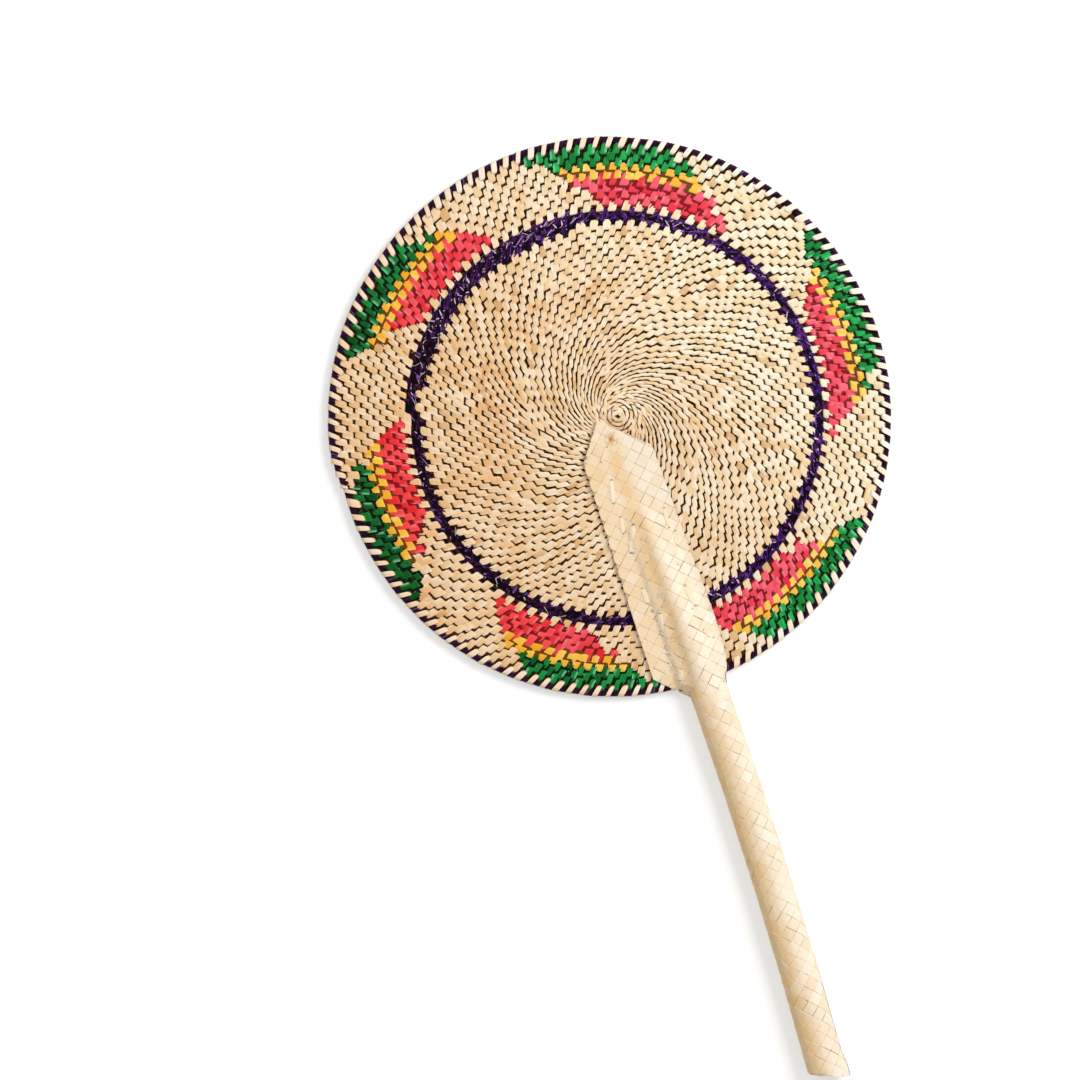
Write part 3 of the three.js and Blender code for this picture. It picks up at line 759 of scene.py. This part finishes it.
def layStitches(face, chance):
    zones = {}
    sweeps, pulls = stitchSweeps(face, chance)
    for i in range(len(sweeps) - 1):
        sweep = sweeps[i]
        row = int(sweep / turn)
        dyeRow = math.floor((sweep - disc["tail"] + disc["dyeStart"]) / turn)
        outer = spiralRadius(sweep)
        inner = max(spiralRadius(sweep + rowsAt(outer) * turn), disc["hub"])
        if outer - inner < stitch["least"]:
            continue
        room = abs(sweeps[i + 1] - sweeps[max(i - 1, 0)]) / 2 * outer
        gap = min(room, stitch["gapMost"] * stitchPitch(outer))
        if row == 1:
            outer += stitch["rimLap"]
        nearHub = 1 - between(outer, *stitch["hubZone"])
        closed = chance.random() < stitch["hubClosed"] * nearHub
        dash = stitch["hubLap"] if closed else chance.uniform(*stitch["dash"]) + stitch["hubDash"] * nearHub
        inner = max(inner + min(dash, stitch["dashMost"] * (outer - inner)), disc["hub"])
        job = {
            "angle": disc["tail"] - sweep,
            "outer": outer + chance.uniform(*stitch["endStray"]),
            "inner": inner,
            "half": gap / 4 * coverAt(outer) * chance.uniform(*stitch["widthStray"]),
            "lean": slantAt((outer + inner) / 2, face) * chance.uniform(*stitch["leanStray"]),
            "rise": stitch["rise"] * chance.uniform(*stitch["riseStray"]),
            "tilt": chance.uniform(*stitch["tilt"]),
            "twist": chance.uniform(*stitch["twist"]),
            "sheen": chance.choice((-1, 0, 0, 1)),    # side painted with a highlight
            "face": face,
            "seed": chance.randrange(*seeds),
            "shift": 0.0,
            "under": 0.0,
            "sunk": chance.uniform(*stitch["sunk"]),
            "tuck": stitch["lapTuck"] if closed else 1.0,
        }
        if i in pulls:
            # drawn into the room of a stitch that was left out
            wider, moved, turned = stitch["pull"]
            job["half"] *= wider
            job["shift"] = -moved * pulls[i] * face * gap
            job["twist"] -= turned * pulls[i] * face * gap
        zone = "rim" if row == 0 else zoneAt(dyeRow, job["angle"], chance)
        if zone.endswith("green"):
            job["half"] *= chance.uniform(*patches["greenWidth"])
        if zone.endswith("yellow"):
            job["half"] *= patches["yellowWidth"]
            if dyeRow == patches["shortRow"]:
                job["inner"] += patches["shortBy"]
        if dyeRow == patches["shortRow"] + 2 and zoneAt(patches["shortRow"], job["angle"], None) != "natural":
            job["outer"] += patches["shortBy"]
        zones.setdefault(zone, []).append(job)
    return zones


def placeStitch(job, corner):
    t = 1 - max(0, 1 - corner.y) ** stitch["crowd"]
    radius = blend(job["outer"], job["inner"], t)
    ends = between(t, *stitch["endZone"]) ** 3
    start = (1 - t) ** 4
    across = math.copysign(abs(corner.x) ** stitch["square"], corner.x)
    across *= job["half"] * (1 - stitch["taper"] * ends)
    across *= 1 + stitch["swell"] * between(radius, *stitch["swellZone"]) * abs(math.sin(turn * t))
    across += job["shift"] + job["twist"] * (t - 0.5)
    height = stitch["bed"] + stitch["climb"] * t - stitch["startDrop"] * start + job["tilt"] * across
    height += (0.5 + 0.5 * corner.z) * job["rise"] - job["under"] - job["sunk"]
    if job["under"] == 0:
        height -= stitch["tuck"] * job["tuck"] * ends
    angle = job["angle"] + job["lean"] * math.log(job["outer"] / radius) + job["face"] * across / radius
    length = job["outer"] - job["inner"]
    # painted light and shade: dark at the diving ends, wholly dark on turns that lie under, a painted
    # highlight along one side, darker edges
    paintedShading = max(ends * job["tuck"], stitch["startShade"] * start)
    if job["under"] > 0:
        paintedShading = 1.0
    elif paintedShading < stitch["sheenBelow"] and corner.x * job["sheen"] > 0:
        paintedShading = -1.0
    elif abs(corner.x) > 0.9:
        paintedShading = max(paintedShading, stitch["edgeShade"])
    place = polar(radius, angle, disc["middle"] + job["face"] * height)
    return place, (across, t * length, job["seed"]), paintedShading


faces = {1: layStitches(1, random.Random(11)), -1: layStitches(-1, random.Random(12))}
naturalFront = faces[1]["natural"]
outerCount = len(naturalFront) // 3    # two pieces, to keep each of them light
# one straw lies loose on the face
looseStraw = {
    "outer": 71.4,
    "inner": 62.8,
    "angle": math.radians(142),
    "lean": 2.56,
    "half": 0.32,
    "rise": 0.4,
    "sunk": -0.85,
    "tuck": 0.2,
    "tilt": 0.0,
    "twist": 0.0,
    "shift": 0.0,
}
naturalFront.append(dict(naturalFront[-1], **looseStraw))
for name, jobs in (("natural_binding_outer", naturalFront[:outerCount]),
                   ("natural_binding_inner", naturalFront[outerCount:]),
                   ("natural_binding_back", faces[-1]["natural"])):
    finishPiece(stampPiece(name, bandShape, jobs, placeStitch), materials["split_reed"], "natural_straw",
                "coil")
print("natural stitches: %d front, %d back" % (len(naturalFront), len(faces[-1]["natural"])))


def withUnder(jobs):
    # the strips' own turns lie under them in the same dye, painted in its darkest tone as shade, and show dark
    # in the gaps
    outer, inner = patches["underEnds"]
    return jobs + [dict(job, under=patches["underDepth"], half=patches["underWidth"] * job["half"],
                        outer=job["outer"] - outer, inner=job["inner"] - inner) for job in jobs]


def splitsOf(job, chance):
    # fibres that have come loose from a strip, across it; most carry a painted highlight on one side
    splits = []
    for k in range(patches["splits"]):
        reach = chance.uniform(*patches["splitReach"])
        split = dict(job, tilt=0, twist=0, rise=patches["splitRise"], sunk=patches["splitSunk"])
        split["half"] = chance.uniform(*patches["splitHalf"])
        split["outer"] = job["outer"] - chance.uniform(0, job["outer"] - job["inner"] - patches["splitEnd"])
        split["inner"] = max(job["inner"], split["outer"] - reach)
        split["shift"] = chance.uniform(-1, 1) * job["half"]
        split["lean"] = job["lean"] + chance.uniform(*patches["splitLean"])
        split["seed"] = chance.randrange(*seeds)
        split["sheen"] = chance.choice((-1, 0, 1))
        splits.append(split)
    return splits


bandNodes = {
    "green": ("green_outer", "green_inner"),
    "yellow": ("yellow",),
    "red": ("red_outer", "red_inner"),
}
chance = random.Random(31)
for i in range(len(patches["spans"])):
    for dye, bands in bandNodes.items():
        name = "patch_%d_%s" % (i + 1, dye)
        jobs = faces[1].get(name, []) + faces[-1].get(name, [])
        splits = [split for job in jobs for split in splitsOf(job, chance)] if dye == "green" else []
        piece = stampPiece(name + "_binding", bandShape, withUnder(jobs) + splits, placeStitch)
        finishPiece(piece, materials[dye + "_dyed_reed"], dye + "_straw",
                    *["patch_%d_%s" % (i + 1, band) for band in bands])
print("patches ready")


# Purple ring: each stitch is a few thin strands that lie criss-cross over an under layer painted nearly black
# as shade

def strandsOf(job, chance):
    strands = []
    for k in range(ring["strands"]):
        reach = chance.uniform(*ring["reach"])
        strand = dict(job, tilt=0, twist=0)
        strand["outer"] = job["outer"] - chance.uniform(ring["edge"], job["outer"] - job["inner"] - reach)
        strand["inner"] = strand["outer"] - reach
        strand["lean"] = job["face"] * chance.uniform(*ring["lean"])
        strand["shift"] = chance.uniform(-1, 1) * ring["spread"] * job["half"]
        strand["half"] = chance.uniform(*ring["half"])
        strand["rise"] = stitch["rise"] * chance.uniform(*ring["rise"])
        strand["sheen"] = chance.choice((-1, 0, 0, 0, 1))
        strand["sunk"] = chance.uniform(*ring["sink"])
        strand["seed"] = chance.randrange(*seeds)
        strands.append(strand)
    return strands


def fraysOf(job, chance):
    frays = []
    share = ring["frayMore" if inWidePart(job["angle"]) else "frayShare"]
    for k in range(ring["frays"]):
        if chance.random() < share:
            fray = dict(job, tilt=0, twist=0, rise=ring["frayRise"], sunk=ring["fraySunk"])
            fray["half"] = chance.uniform(*ring["frayHalf"])
            fray["shift"] = chance.uniform(*ring["frayShift"])
            fray["outer"] = job["outer"] - chance.uniform(*ring["frayStart"])
            fray["inner"] = max(job["inner"], fray["outer"] - chance.choice(ring["frayReach"]))
            fray["lean"] = chance.uniform(*ring["frayLean"])
            fray["seed"] = chance.randrange(*seeds)
            frays.append(fray)
    return frays


ringJobs = faces[1]["ring"] + faces[-1]["ring"]
chance = random.Random(21)
ringStrands = [strand for job in ringJobs for strand in strandsOf(job, chance)]
ringUnders = [dict(job, under=ring["underDepth"], half=ring["underWidth"] * job["half"],
                   outer=job["outer"] - ring["edge"]) for job in ringJobs]
finishPiece(stampPiece("purple_ring_binding", strandShape, ringStrands + ringUnders, placeStitch),
            materials["purple_dyed_fibre"], "purple_straw", "ring_binding")
chance = random.Random(22)
frays = [fray for job in ringJobs for fray in fraysOf(job, chance)]
finishPiece(stampPiece("frayed_ring_fibres", strandShape, frays, placeStitch), materials["pale_fibre_glints"],
            "purple_straw", "ring_binding")


# Rim: the outermost row is wound with dark purple fibre and oversewn with reed at even steps

rim = {
    "bend": 1.75,               # half the edge's thickness
    "reach": 3.3,
    "strands": 6,               # of purple, between two strips of reed
    "sink": 0.22,
    "lean": 1.6,                # of the reed, against the stitches further in
    "level": 0.2,
    "dive": 0.9,                # of both ends
    "thick": 0.55,
    "square": 0.4,
    "taper": 0.4,
    "edgeShade": 0.5,
    "width": (0.86, 0.12),      # of the reed, against the stitches further in, and how much it varies
    "windStart": 1.3,           # the purple starts so far beside the reed, and covers that span
    "windSpan": 4.2,
    "windHalf": 1.8,            # of all its strands together
    "windWidth": (1.05, 1.4),
    "reachStray": (-0.3, 0.3),
    "leanStray": (-0.1, 0.1),
    "sinkStray": (-0.08, 0.08),
}


def placeWrap(job, corner):
    # path over the face, round the edge and along the back
    flat = job["outer"] - rim["bend"] - job["inner"]
    arc = math.pi * rim["bend"]
    s = corner.y * (2 * flat + arc)
    ends = abs(2 * corner.y - 1) ** 10
    level = rim["level"] - rim["dive"] * ends - job["sink"] + (0.5 + 0.5 * corner.z) * rim["thick"]
    if s < flat:
        turned = 0.0
        radius = job["inner"] + s
    elif s < flat + arc:
        turned = (s - flat) / rim["bend"]
        radius = job["outer"] - rim["bend"]
    else:
        turned = math.pi
        radius = job["outer"] - rim["bend"] - (s - flat - arc)
    radius += math.sin(turned) * (rim["bend"] + level)
    z = disc["middle"] + math.cos(turned) * (rim["bend"] + level)
    across = math.copysign(abs(corner.x) ** rim["square"], corner.x)
    across = across * job["half"] * (1 - rim["taper"] * ends) + job["shift"]
    lean = job["lean"] * math.log(job["outer"] / radius) * (1 if turned < math.pi / 2 else -1)
    angle = job["angle"] + lean - across / radius
    # painted shade at the diving ends and along the edges
    paintedShading = max(ends, rim["edgeShade"] * corner.x ** 4)
    return polar(radius, angle, z), (across, s, job["seed"]), paintedShading


for job in faces[1]["rim"]:
    job["sink"] = 0.0
    job["half"] *= rim["width"][0] + rim["width"][1] * math.sin(job["seed"])
    job["lean"] *= rim["lean"]
finishPiece(stampPiece("rim_oversewing", wrapShape, faces[1]["rim"], placeWrap),
            materials["bleached_reed"], "natural_straw", "coil")

chance = random.Random(31)
windings = []
for job in faces[1]["rim"]:
    for k in range(rim["strands"]):
        winding = dict(job)
        winding["shift"] = rim["windStart"] + rim["windSpan"] * (k + 0.5) / rim["strands"]
        winding["half"] = rim["windHalf"] / rim["strands"] * chance.uniform(*rim["windWidth"])
        winding["inner"] = job["outer"] - rim["reach"] + chance.uniform(*rim["reachStray"])
        winding["lean"] = job["lean"] + chance.uniform(*rim["leanStray"])
        winding["sink"] = rim["sink"] + chance.uniform(*rim["sinkStray"])
        winding["seed"] = chance.randrange(*seeds)
        windings.append(winding)
finishPiece(stampPiece("rim_purple_winding", windShape, windings, placeWrap),
            materials["rim_purple_fibre"], "rim_purple_straw", "rim_binding")
print("ring and rim ready")


# Grass bundle in the coil, from the hub to the tail

def foundationPiece():
    curve = bpy.data.curves.new("grass_bundle", "CURVE")
    curve.dimensions = "3D"
    curve.bevel_depth = 1.0 * mm
    curve.bevel_resolution = 1
    curve.use_fill_caps = True
    points = []
    steps = disc["coreSteps"]
    count = int(fullSweep / turn * steps)
    for i in range(count):
        sweep = turn * i / steps
        width = spiralRadius(sweep) - spiralRadius(sweep + turn)
        points.append((spiralRadius(sweep) - width / 2, disc["tail"] - sweep, width))
    spline = curve.splines.new("POLY")
    spline.points.add(len(points) - 1)
    for point, (radius, angle, width) in zip(spline.points, points):
        point.co = (*polar(radius, angle, disc["middle"]), 1)
        point.radius = min(disc["core"], disc["coreShare"] * max(width, disc["coreLeast"]))
    return linkedPiece("grass_bundle", curve)


def webPiece():
    # the rows touch each other: a thin layer in the bundle's darkened colour, painted shade, closes the slits
    # between the bundle's rounds
    bm = bmesh.new()
    inset, thick = disc["web"]
    sides = disc["webSides"]
    points = [bm.verts.new(polar(disc["rim"] - inset, turn * i / sides, disc["middle"] - thick / 2))
              for i in range(sides)]
    face = bm.faces.new(points)
    grown = bmesh.ops.extrude_face_region(bm, geom=[face])["geom"]
    bmesh.ops.translate(bm, verts=vertsIn(grown), vec=(0, 0, thick * mm))
    bmesh.ops.recalc_face_normals(bm, faces=bm.faces[:])
    return linkedPiece("grass_web", meshFrom(bm, "grass_web"))


dryGrass = foundationMaterial()
finishPiece(foundationPiece(), dryGrass, "natural_straw", "coil")
finishPiece(webPiece(), dryGrass, "natural_straw", "coil")
print("grass bundle ready")


# Plaited sleeve: tiles of an over-and-under plait, laid at 45 degrees on the CAD sleeve's surface

plait = {
    "strips": 7,                # each way round the grip
    "gripHalfWidth": 9.5,
    "gripHalfHeight": 7.5,
    "neck": -147,               # above this the plait lies on the flaps
    "flapFloor": 5.7,
    "taut": (1.8, 3.6, 5.4),    # reaches to both sides over which the leaf is taut
    "rise": 0.2,
    "skirt": 0.45,
    "dip": 0.18,                # of a tile's border
    "holes": 0.08,              # share of the crossings that show a small hole, painted dark as shade
    "lines": 0.58,              # share of the tiles whose border shows as a line of painted shade
    "silhouetteShade": (0.9, 0.98),        # painted shade along the grip's right edge, where its surface turns down, between these leans of the surface
    "silhouetteShadeTop": (-285, -300),    # it comes in between these
    "lining": 0.4,              # how far the under layer lies below
    "goldLine": (-4.5, 5.5),    # golden tan painted as shade on the flank of the flap's ridge away from the light: middle and half width
    "goldTop": (-2, -22),       # it comes in between these
    "goldSide": (0.62, 2, 12),  # a paler share of it left of these
    "goldLeast": 0.08,
    "goldGrip": (-0.25, 0.48),  # and on the grip, as painted shade, between these leans of the surface to the left
    "edgeLevel": (6.4, 0.5),    # of the flaps' edges, front and back
    "flapReach": 27,
    "backTop": 16,
    "buttEnd": -352,
    "neckBack": 12,             # behind the neck the tube runs on that far
    "above": 40,                # rays at the sleeve start so far above, below, beside and round it
    "below": -20,
    "beside": 60,
    "around": 40,
    "farthest": 38,             # that such a ray round the grip may run
    "lastCentre": -341,         # past this the grip's middle isn't looked for
    "backTaut": 1.6,            # reach to both sides on the back, and the highest level that is still the back
    "backCeiling": 1.0,
    "riseStray": (0.75, 1.15),
    "slack": (0.1, 0.2, 0.45),  # share of the tiles that are narrower, and by how much
    "skew": (-0.03, 0.03),
    "lineShade": (0.45, 0.85),
    "goldStray": (0.65, 1.1),
    "plainDip": 0.4,            # share of the dip where no line shows
    "edgeDepths": (0.05, 0.3, 0.8, 1.6),    # tried one by one at the edge of a flap
    "edgeSteps": 24,            # and at the end of the grip
}
girth = turn * math.sqrt((plait["gripHalfWidth"] ** 2 + plait["gripHalfHeight"] ** 2) / 2)
stripWidth = girth / plait["strips"] / math.sqrt(2)
sleeveTree = BVHTree.FromObject(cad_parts["plaited_sleeve"], rest)


def castRay(x, y, z, direction):
    spot = sleeveTree.ray_cast(Vector((x, y, z)) * mm, Vector(direction).normalized())[0]
    return None if spot is None else spot / mm


def flapShade(x, y):
    # painted shade: golden tan along the left flank of the handle's ridge, away from the light, and a paler
    # share on the flap left of it
    middle, reach = plait["goldLine"]
    ridge = math.exp(-((x - middle) / reach) ** 2) * between(y, *plait["goldTop"])
    share, near, far = plait["goldSide"]
    return max(ridge, share * between(-x, near, far), plait["goldLeast"])


def topAt(x, y):
    spot = castRay(x, y, plait["above"], (0, 0, -1))
    return spot.z if spot is not None and spot.z > plait["flapFloor"] else None


def frontPoint(x, y):
    # top of the front flap, drawn taut over the holes of the sewing and the fold beside the ridge
    own = topAt(x, y)
    lefts = {reach: topAt(x - reach, y) for reach in plait["taut"]}
    rights = {reach: topAt(x + reach, y) for reach in plait["taut"]}
    nearest = plait["taut"][0]
    if own is None and (lefts[nearest] is None or rights[nearest] is None):
        return None
    heights = [own] if own is not None else []
    for a, left in lefts.items():
        for b, right in rights.items():
            if left is not None and right is not None:
                heights.append((left * b + right * a) / (a + b))
    return Vector((x, y, max(heights))), Vector((0, 0, 1)), flapShade(x, y)


def backPoint(x, y):
    reach = plait["backTaut"]
    spots = [castRay(x + aside, y, plait["below"], (0, 0, 1)) for aside in (0, -reach, reach)]
    own, left, right = [spot is not None and spot.z < plait["backCeiling"] for spot in spots]
    if own or (left and right):
        return Vector((x, y, 0)), Vector((0, 0, -1)), 0.0
    return None


def gripCentre(y):
    level = plait["gripHalfHeight"]
    left = castRay(-plait["beside"], y, level, (1, 0, 0))
    right = castRay(plait["beside"], y, level, (-1, 0, 0))
    if left is None or right is None:
        return None
    return (left.x + right.x) / 2


centres = {}


def gripPoint(u, y):
    key = round(y, 1)
    if key not in centres:
        centres[key] = gripCentre(max(key, plait["lastCentre"]))
    angle = math.pi / 2 - u / girth * turn
    wide, high = plait["gripHalfWidth"], plait["gripHalfHeight"]
    out = Vector((wide * math.cos(angle), 0, high * math.sin(angle))).normalized()
    start = Vector((centres[key], y, high)) + out * plait["around"]
    spot = castRay(*start, -out)
    if spot is None or (spot - start).length > plait["farthest"]:
        return None
    normal = Vector((math.cos(angle) / wide, 0, math.sin(angle) / high)).normalized()
    # painted shade: golden tan on the grip's left side, and darker along its right edge near the butt
    silhouetteShade = between(normal.x, *plait["silhouetteShade"]) * between(y, *plait["silhouetteShadeTop"])
    return spot, normal, between(-normal.x, *plait["goldGrip"]) - silhouetteShade


def plaitCells(low, high, reach):
    # crossings of the two sets of strips, with the one that lies on top
    cells = []
    count = int((high - low + 2 * reach) / stripWidth) + 4
    first = int(low / math.sqrt(2) / stripWidth) - count // 2
    for i in range(first, first + 2 * count):
        for j in range(first, first + 2 * count):
            a = (i + 0.5) * stripWidth
            b = (j + 0.5) * stripWidth
            u = (a - b) / math.sqrt(2)
            y = (a + b) / math.sqrt(2)
            if low <= y < high and -reach <= u + 0.01 < reach:
                over = (i + j) % 2 == 0
                cells.append({"a": a, "b": b, "i": i, "j": j, "over": over, "strip": i if over else j})
    return cells


def layCells(low, high, reach, surface, mirrored, chance):
    jobs = []
    slackShare, leastSlack, mostSlack = plait["slack"]
    for cell in plaitCells(low, high, reach):
        cell["surface"] = surface
        cell["mirrored"] = -1 if mirrored else 1
        cell["seed"] = (cell["strip"] * 7 + (0 if cell["over"] else 431)) % 900 + 1
        cell["rise"] = plait["rise"] * chance.uniform(*plait["riseStray"])
        cell["slack"] = 0.0 if chance.random() > slackShare else chance.uniform(leastSlack, mostSlack)
        cell["skew"] = chance.uniform(*plait["skew"])
        cell["line"] = chance.uniform(*plait["lineShade"]) if chance.random() < plait["lines"] else 0.0
        cell["gold"] = chance.uniform(*plait["goldStray"])
        samples = [cellSpot(cell, x, y) for x in (-1, 0, 1) for y in (-1, 0, 1)]
        inside = [spot for spot in samples if surface(*spot) is not None]
        if len(inside) < 2:
            continue
        middle = Vector(cellSpot(cell, 0, 0))
        cell["safe"] = min(inside, key=lambda spot: (Vector(spot) - middle).length)
        jobs.append(cell)
    return jobs


def cellSpot(cell, x, y):
    half = stripWidth / 2
    across = x * (half - cell["slack"] / 2) + cell["skew"] * y * half
    along = y * half
    if cell["over"]:
        a, b = cell["a"] + across, cell["b"] + along
    else:
        a, b = cell["a"] + along, cell["b"] - across
    return (a - b) / math.sqrt(2), (a + b) / math.sqrt(2)


def drawnBack(cell, u, y):
    # past the edge of the surface: the nearest spot on it
    if cell["surface"] is gripPoint:
        steps = plait["edgeSteps"]
        spots = [(blend(u, cell["safe"][0], i / steps), blend(y, cell["safe"][1], i / steps))
                 for i in range(steps + 1)]
    else:
        level = plait["edgeLevel"][0 if cell["surface"] is frontPoint else 1]
        near = sleeveTree.find_nearest(Vector((u, y, level)) * mm)[0] / mm
        inwards = Vector((near.x - u, near.y - y)).normalized()
        spots = [(near.x + inwards.x * depth, near.y + inwards.y * depth) for depth in plait["edgeDepths"]]
    for spot in spots:
        found = cell["surface"](*spot)
        if found is not None:
            return found
    return None


def placeCell(cell, corner):
    u, y = cellSpot(cell, corner.x * cell["mirrored"], corner.y)
    found = cell["surface"](u, y)
    if found is None:
        found = drawnBack(cell, u, y) or cell["surface"](*cell["safe"])
    spot, normal, gold = found
    height = cell["rise"]
    # painted light and shade: golden tan on shaded flanks, darker tile borders and dark holes at crossings
    paintedShading = -gold * cell["gold"]
    if max(abs(corner.x), abs(corner.y)) > 0.95:
        height -= plait["dip"] * (1 if cell["line"] else plait["plainDip"])
        paintedShading = cell["line"] or paintedShading
    if min(abs(corner.x), abs(corner.y)) > 0.95 and holeAt(cell, corner):
        height -= plait["dip"]
        paintedShading = 1.0
    if corner.z < -0.5:
        height = -plait["skirt"]
    along = corner.y * stripWidth / 2 + (cell["b"] if cell["over"] else cell["a"])
    return (spot + normal * height) * mm, (corner.x * stripWidth / 2, along, cell["seed"]), paintedShading


def holeAt(cell, corner):
    # the four tiles round a crossing agree on whether it shows a hole
    x = corner.x * cell["mirrored"]
    a, b = (x, corner.y) if cell["over"] else (corner.y, -x)
    crossing = (cell["i"] + (1 if a > 0 else 0)) * 1009 + cell["j"] + (1 if b > 0 else 0)
    return random.Random(crossing).random() < plait["holes"]


chance = random.Random(41)
gripCells = layCells(plait["buttEnd"], plait["neck"], girth / 2, gripPoint, False, chance)
frontCells = layCells(plait["neck"] - 3, 0, plait["flapReach"], frontPoint, False, chance)
backCells = layCells(plait["neck"] + 3, plait["backTop"], plait["flapReach"], backPoint, True, chance)
neckCells = layCells(plait["neck"], plait["neck"] + plait["neckBack"], girth / 2, gripPoint, False, chance)
gripCells += [cell for cell in neckCells if abs(cell["a"] - cell["b"]) / math.sqrt(2) > girth / 4]
for name, cells in (("grip_plait", gripCells),
                    ("front_flap_plait", frontCells),
                    ("back_flap_plait", backCells)):
    finishPiece(stampPiece(name, cellShape, cells, placeCell), materials["plaited_leaf"], "plaited_leaf",
                "plaited_sleeve")
print("plait: %d grip, %d front, %d back tiles" % (len(gripCells), len(frontCells), len(backCells)))


def liningPiece():
    # under layer of the plait, from the sleeve's own surface
    bm = bmesh.new()
    bm.from_mesh(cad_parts["plaited_sleeve"].data)
    bmesh.ops.remove_doubles(bm, verts=bm.verts, dist=0.01 * mm)
    bm.normal_update()
    for vert, inwards in [(vert, -vert.normal.copy()) for vert in bm.verts]:
        vert.co += inwards * plait["lining"] * mm
    return linkedPiece("sleeve_under_layer", meshFrom(bm, "sleeve_under_layer"))


finishPiece(liningPiece(), liningMaterial(), "plaited_leaf", "plaited_sleeve")


# Sewing: flat straw over the flaps. On the front it lies as the photograph shows it, on the back where the
# CAD strands lie.

sewing = {
    "half": 1.25,
    "rise": 0.36,
    "lift": 0.2,
    "dive": 0.25,               # of both ends
    "backLevel": 0.65,
    "frontLevel": 7,            # where there is no flap under a stitch
    "square": 0.5,
    "taper": 0.5,
    "edgeShade": (0.85, 0.6),    # painted shade, on the shaded and on the lit side
    "skew": 1.5,                # of the stitches on the back
    "widthStray": (0.85, 1.15),
    # lower and upper end of each front stitch, and its width
    "left": (((-12.2, -21.1), (-6.7, -14.5), 0.6), ((-12.7, -42.7), (-9.7, -30.6), 0.85),
             ((-12.6, -58.4), (-11.2, -49.7), 0.8), ((-12.0, -68.9), (-6.5, -55.1), 1.15),
             ((-12.1, -95.3), (-11.9, -86.8), 1.0), ((-9.9, -110.7), (-7.6, -101.3), 1.15),
             ((-10.7, -129.0), (-9.7, -122.3), 0.7), ((-8.7, -136.8), (-6.3, -131.0), 1.1)),
    "right": (((10.1, -62.8), (10.7, -52.0), 0.8), ((11.2, -72.3), (12.6, -64.6), 0.9),
              ((10.3, -103.7), (8.4, -92.0), 1.0), ((14.0, -121.4), (10.3, -115.8), 0.9)),
}


def backSpans(node):
    ys = {round(vert.co.y / mm, 1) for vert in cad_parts[node].data.vertices
          if vert.co.z / mm < sewing["backLevel"]}
    marks = []
    for y in sorted(ys):
        if not marks or y - marks[-1] > 1:
            marks.append(y)
    return list(zip(marks[::2], marks[1::2]))


def placeSewing(job, corner):
    t = corner.y
    along = job["high"] - job["low"]
    side = Vector((along.y, -along.x)).normalized()
    across = math.copysign(abs(corner.x) ** sewing["square"], corner.x) * sewing["half"] * job["wide"]
    across *= 1 - sewing["taper"] * abs(2 * t - 1) ** 3
    spot = job["low"] + along * t + side * across * job["face"]
    ends = abs(2 * t - 1) ** 5
    found = (frontPoint if job["face"] > 0 else backPoint)(*spot)
    base = found[0].z if found else job["level"]
    height = sewing["lift"] - sewing["dive"] * ends + (0.5 + 0.5 * corner.z) * sewing["rise"]
    # painted shade at the diving ends and along the edges, more on the side away from the light
    paintedShading = ends
    if abs(corner.x) > 0.9:
        paintedShading = max(ends, sewing["edgeShade"][0 if corner.x < 0 else 1])
    place = Vector((*spot, base + job["face"] * height)) * mm
    return place, (across, t * along.length, job["seed"]), paintedShading


chance = random.Random(51)
for side in ("left", "right"):
    node = "sewing_strand_" + side
    low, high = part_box(node)
    middle = (low.x + high.x) / 2 / mm
    lean = sewing["skew"] / 2
    jobs = [{"low": Vector(bottom), "high": Vector(top), "face": 1, "wide": wide,
             "level": sewing["frontLevel"]} for bottom, top, wide in sewing[side]]
    jobs += [{"low": Vector((middle - lean, bottom)), "high": Vector((middle + lean, top)), "face": -1,
              "wide": chance.uniform(*sewing["widthStray"]), "level": 0} for bottom, top in backSpans(node)]
    for job in jobs:
        job["seed"] = chance.randrange(*seeds)
    finishPiece(stampPiece("sewing_" + side, wrapShape, jobs, placeSewing), materials["sewing_straw"],
                "sewing_straw", node)
    print("sewing %s: %d stitches" % (side, len(jobs)))

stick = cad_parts["stick"]
stick.data.materials.clear()
stick.data.materials.append(stickMaterial())
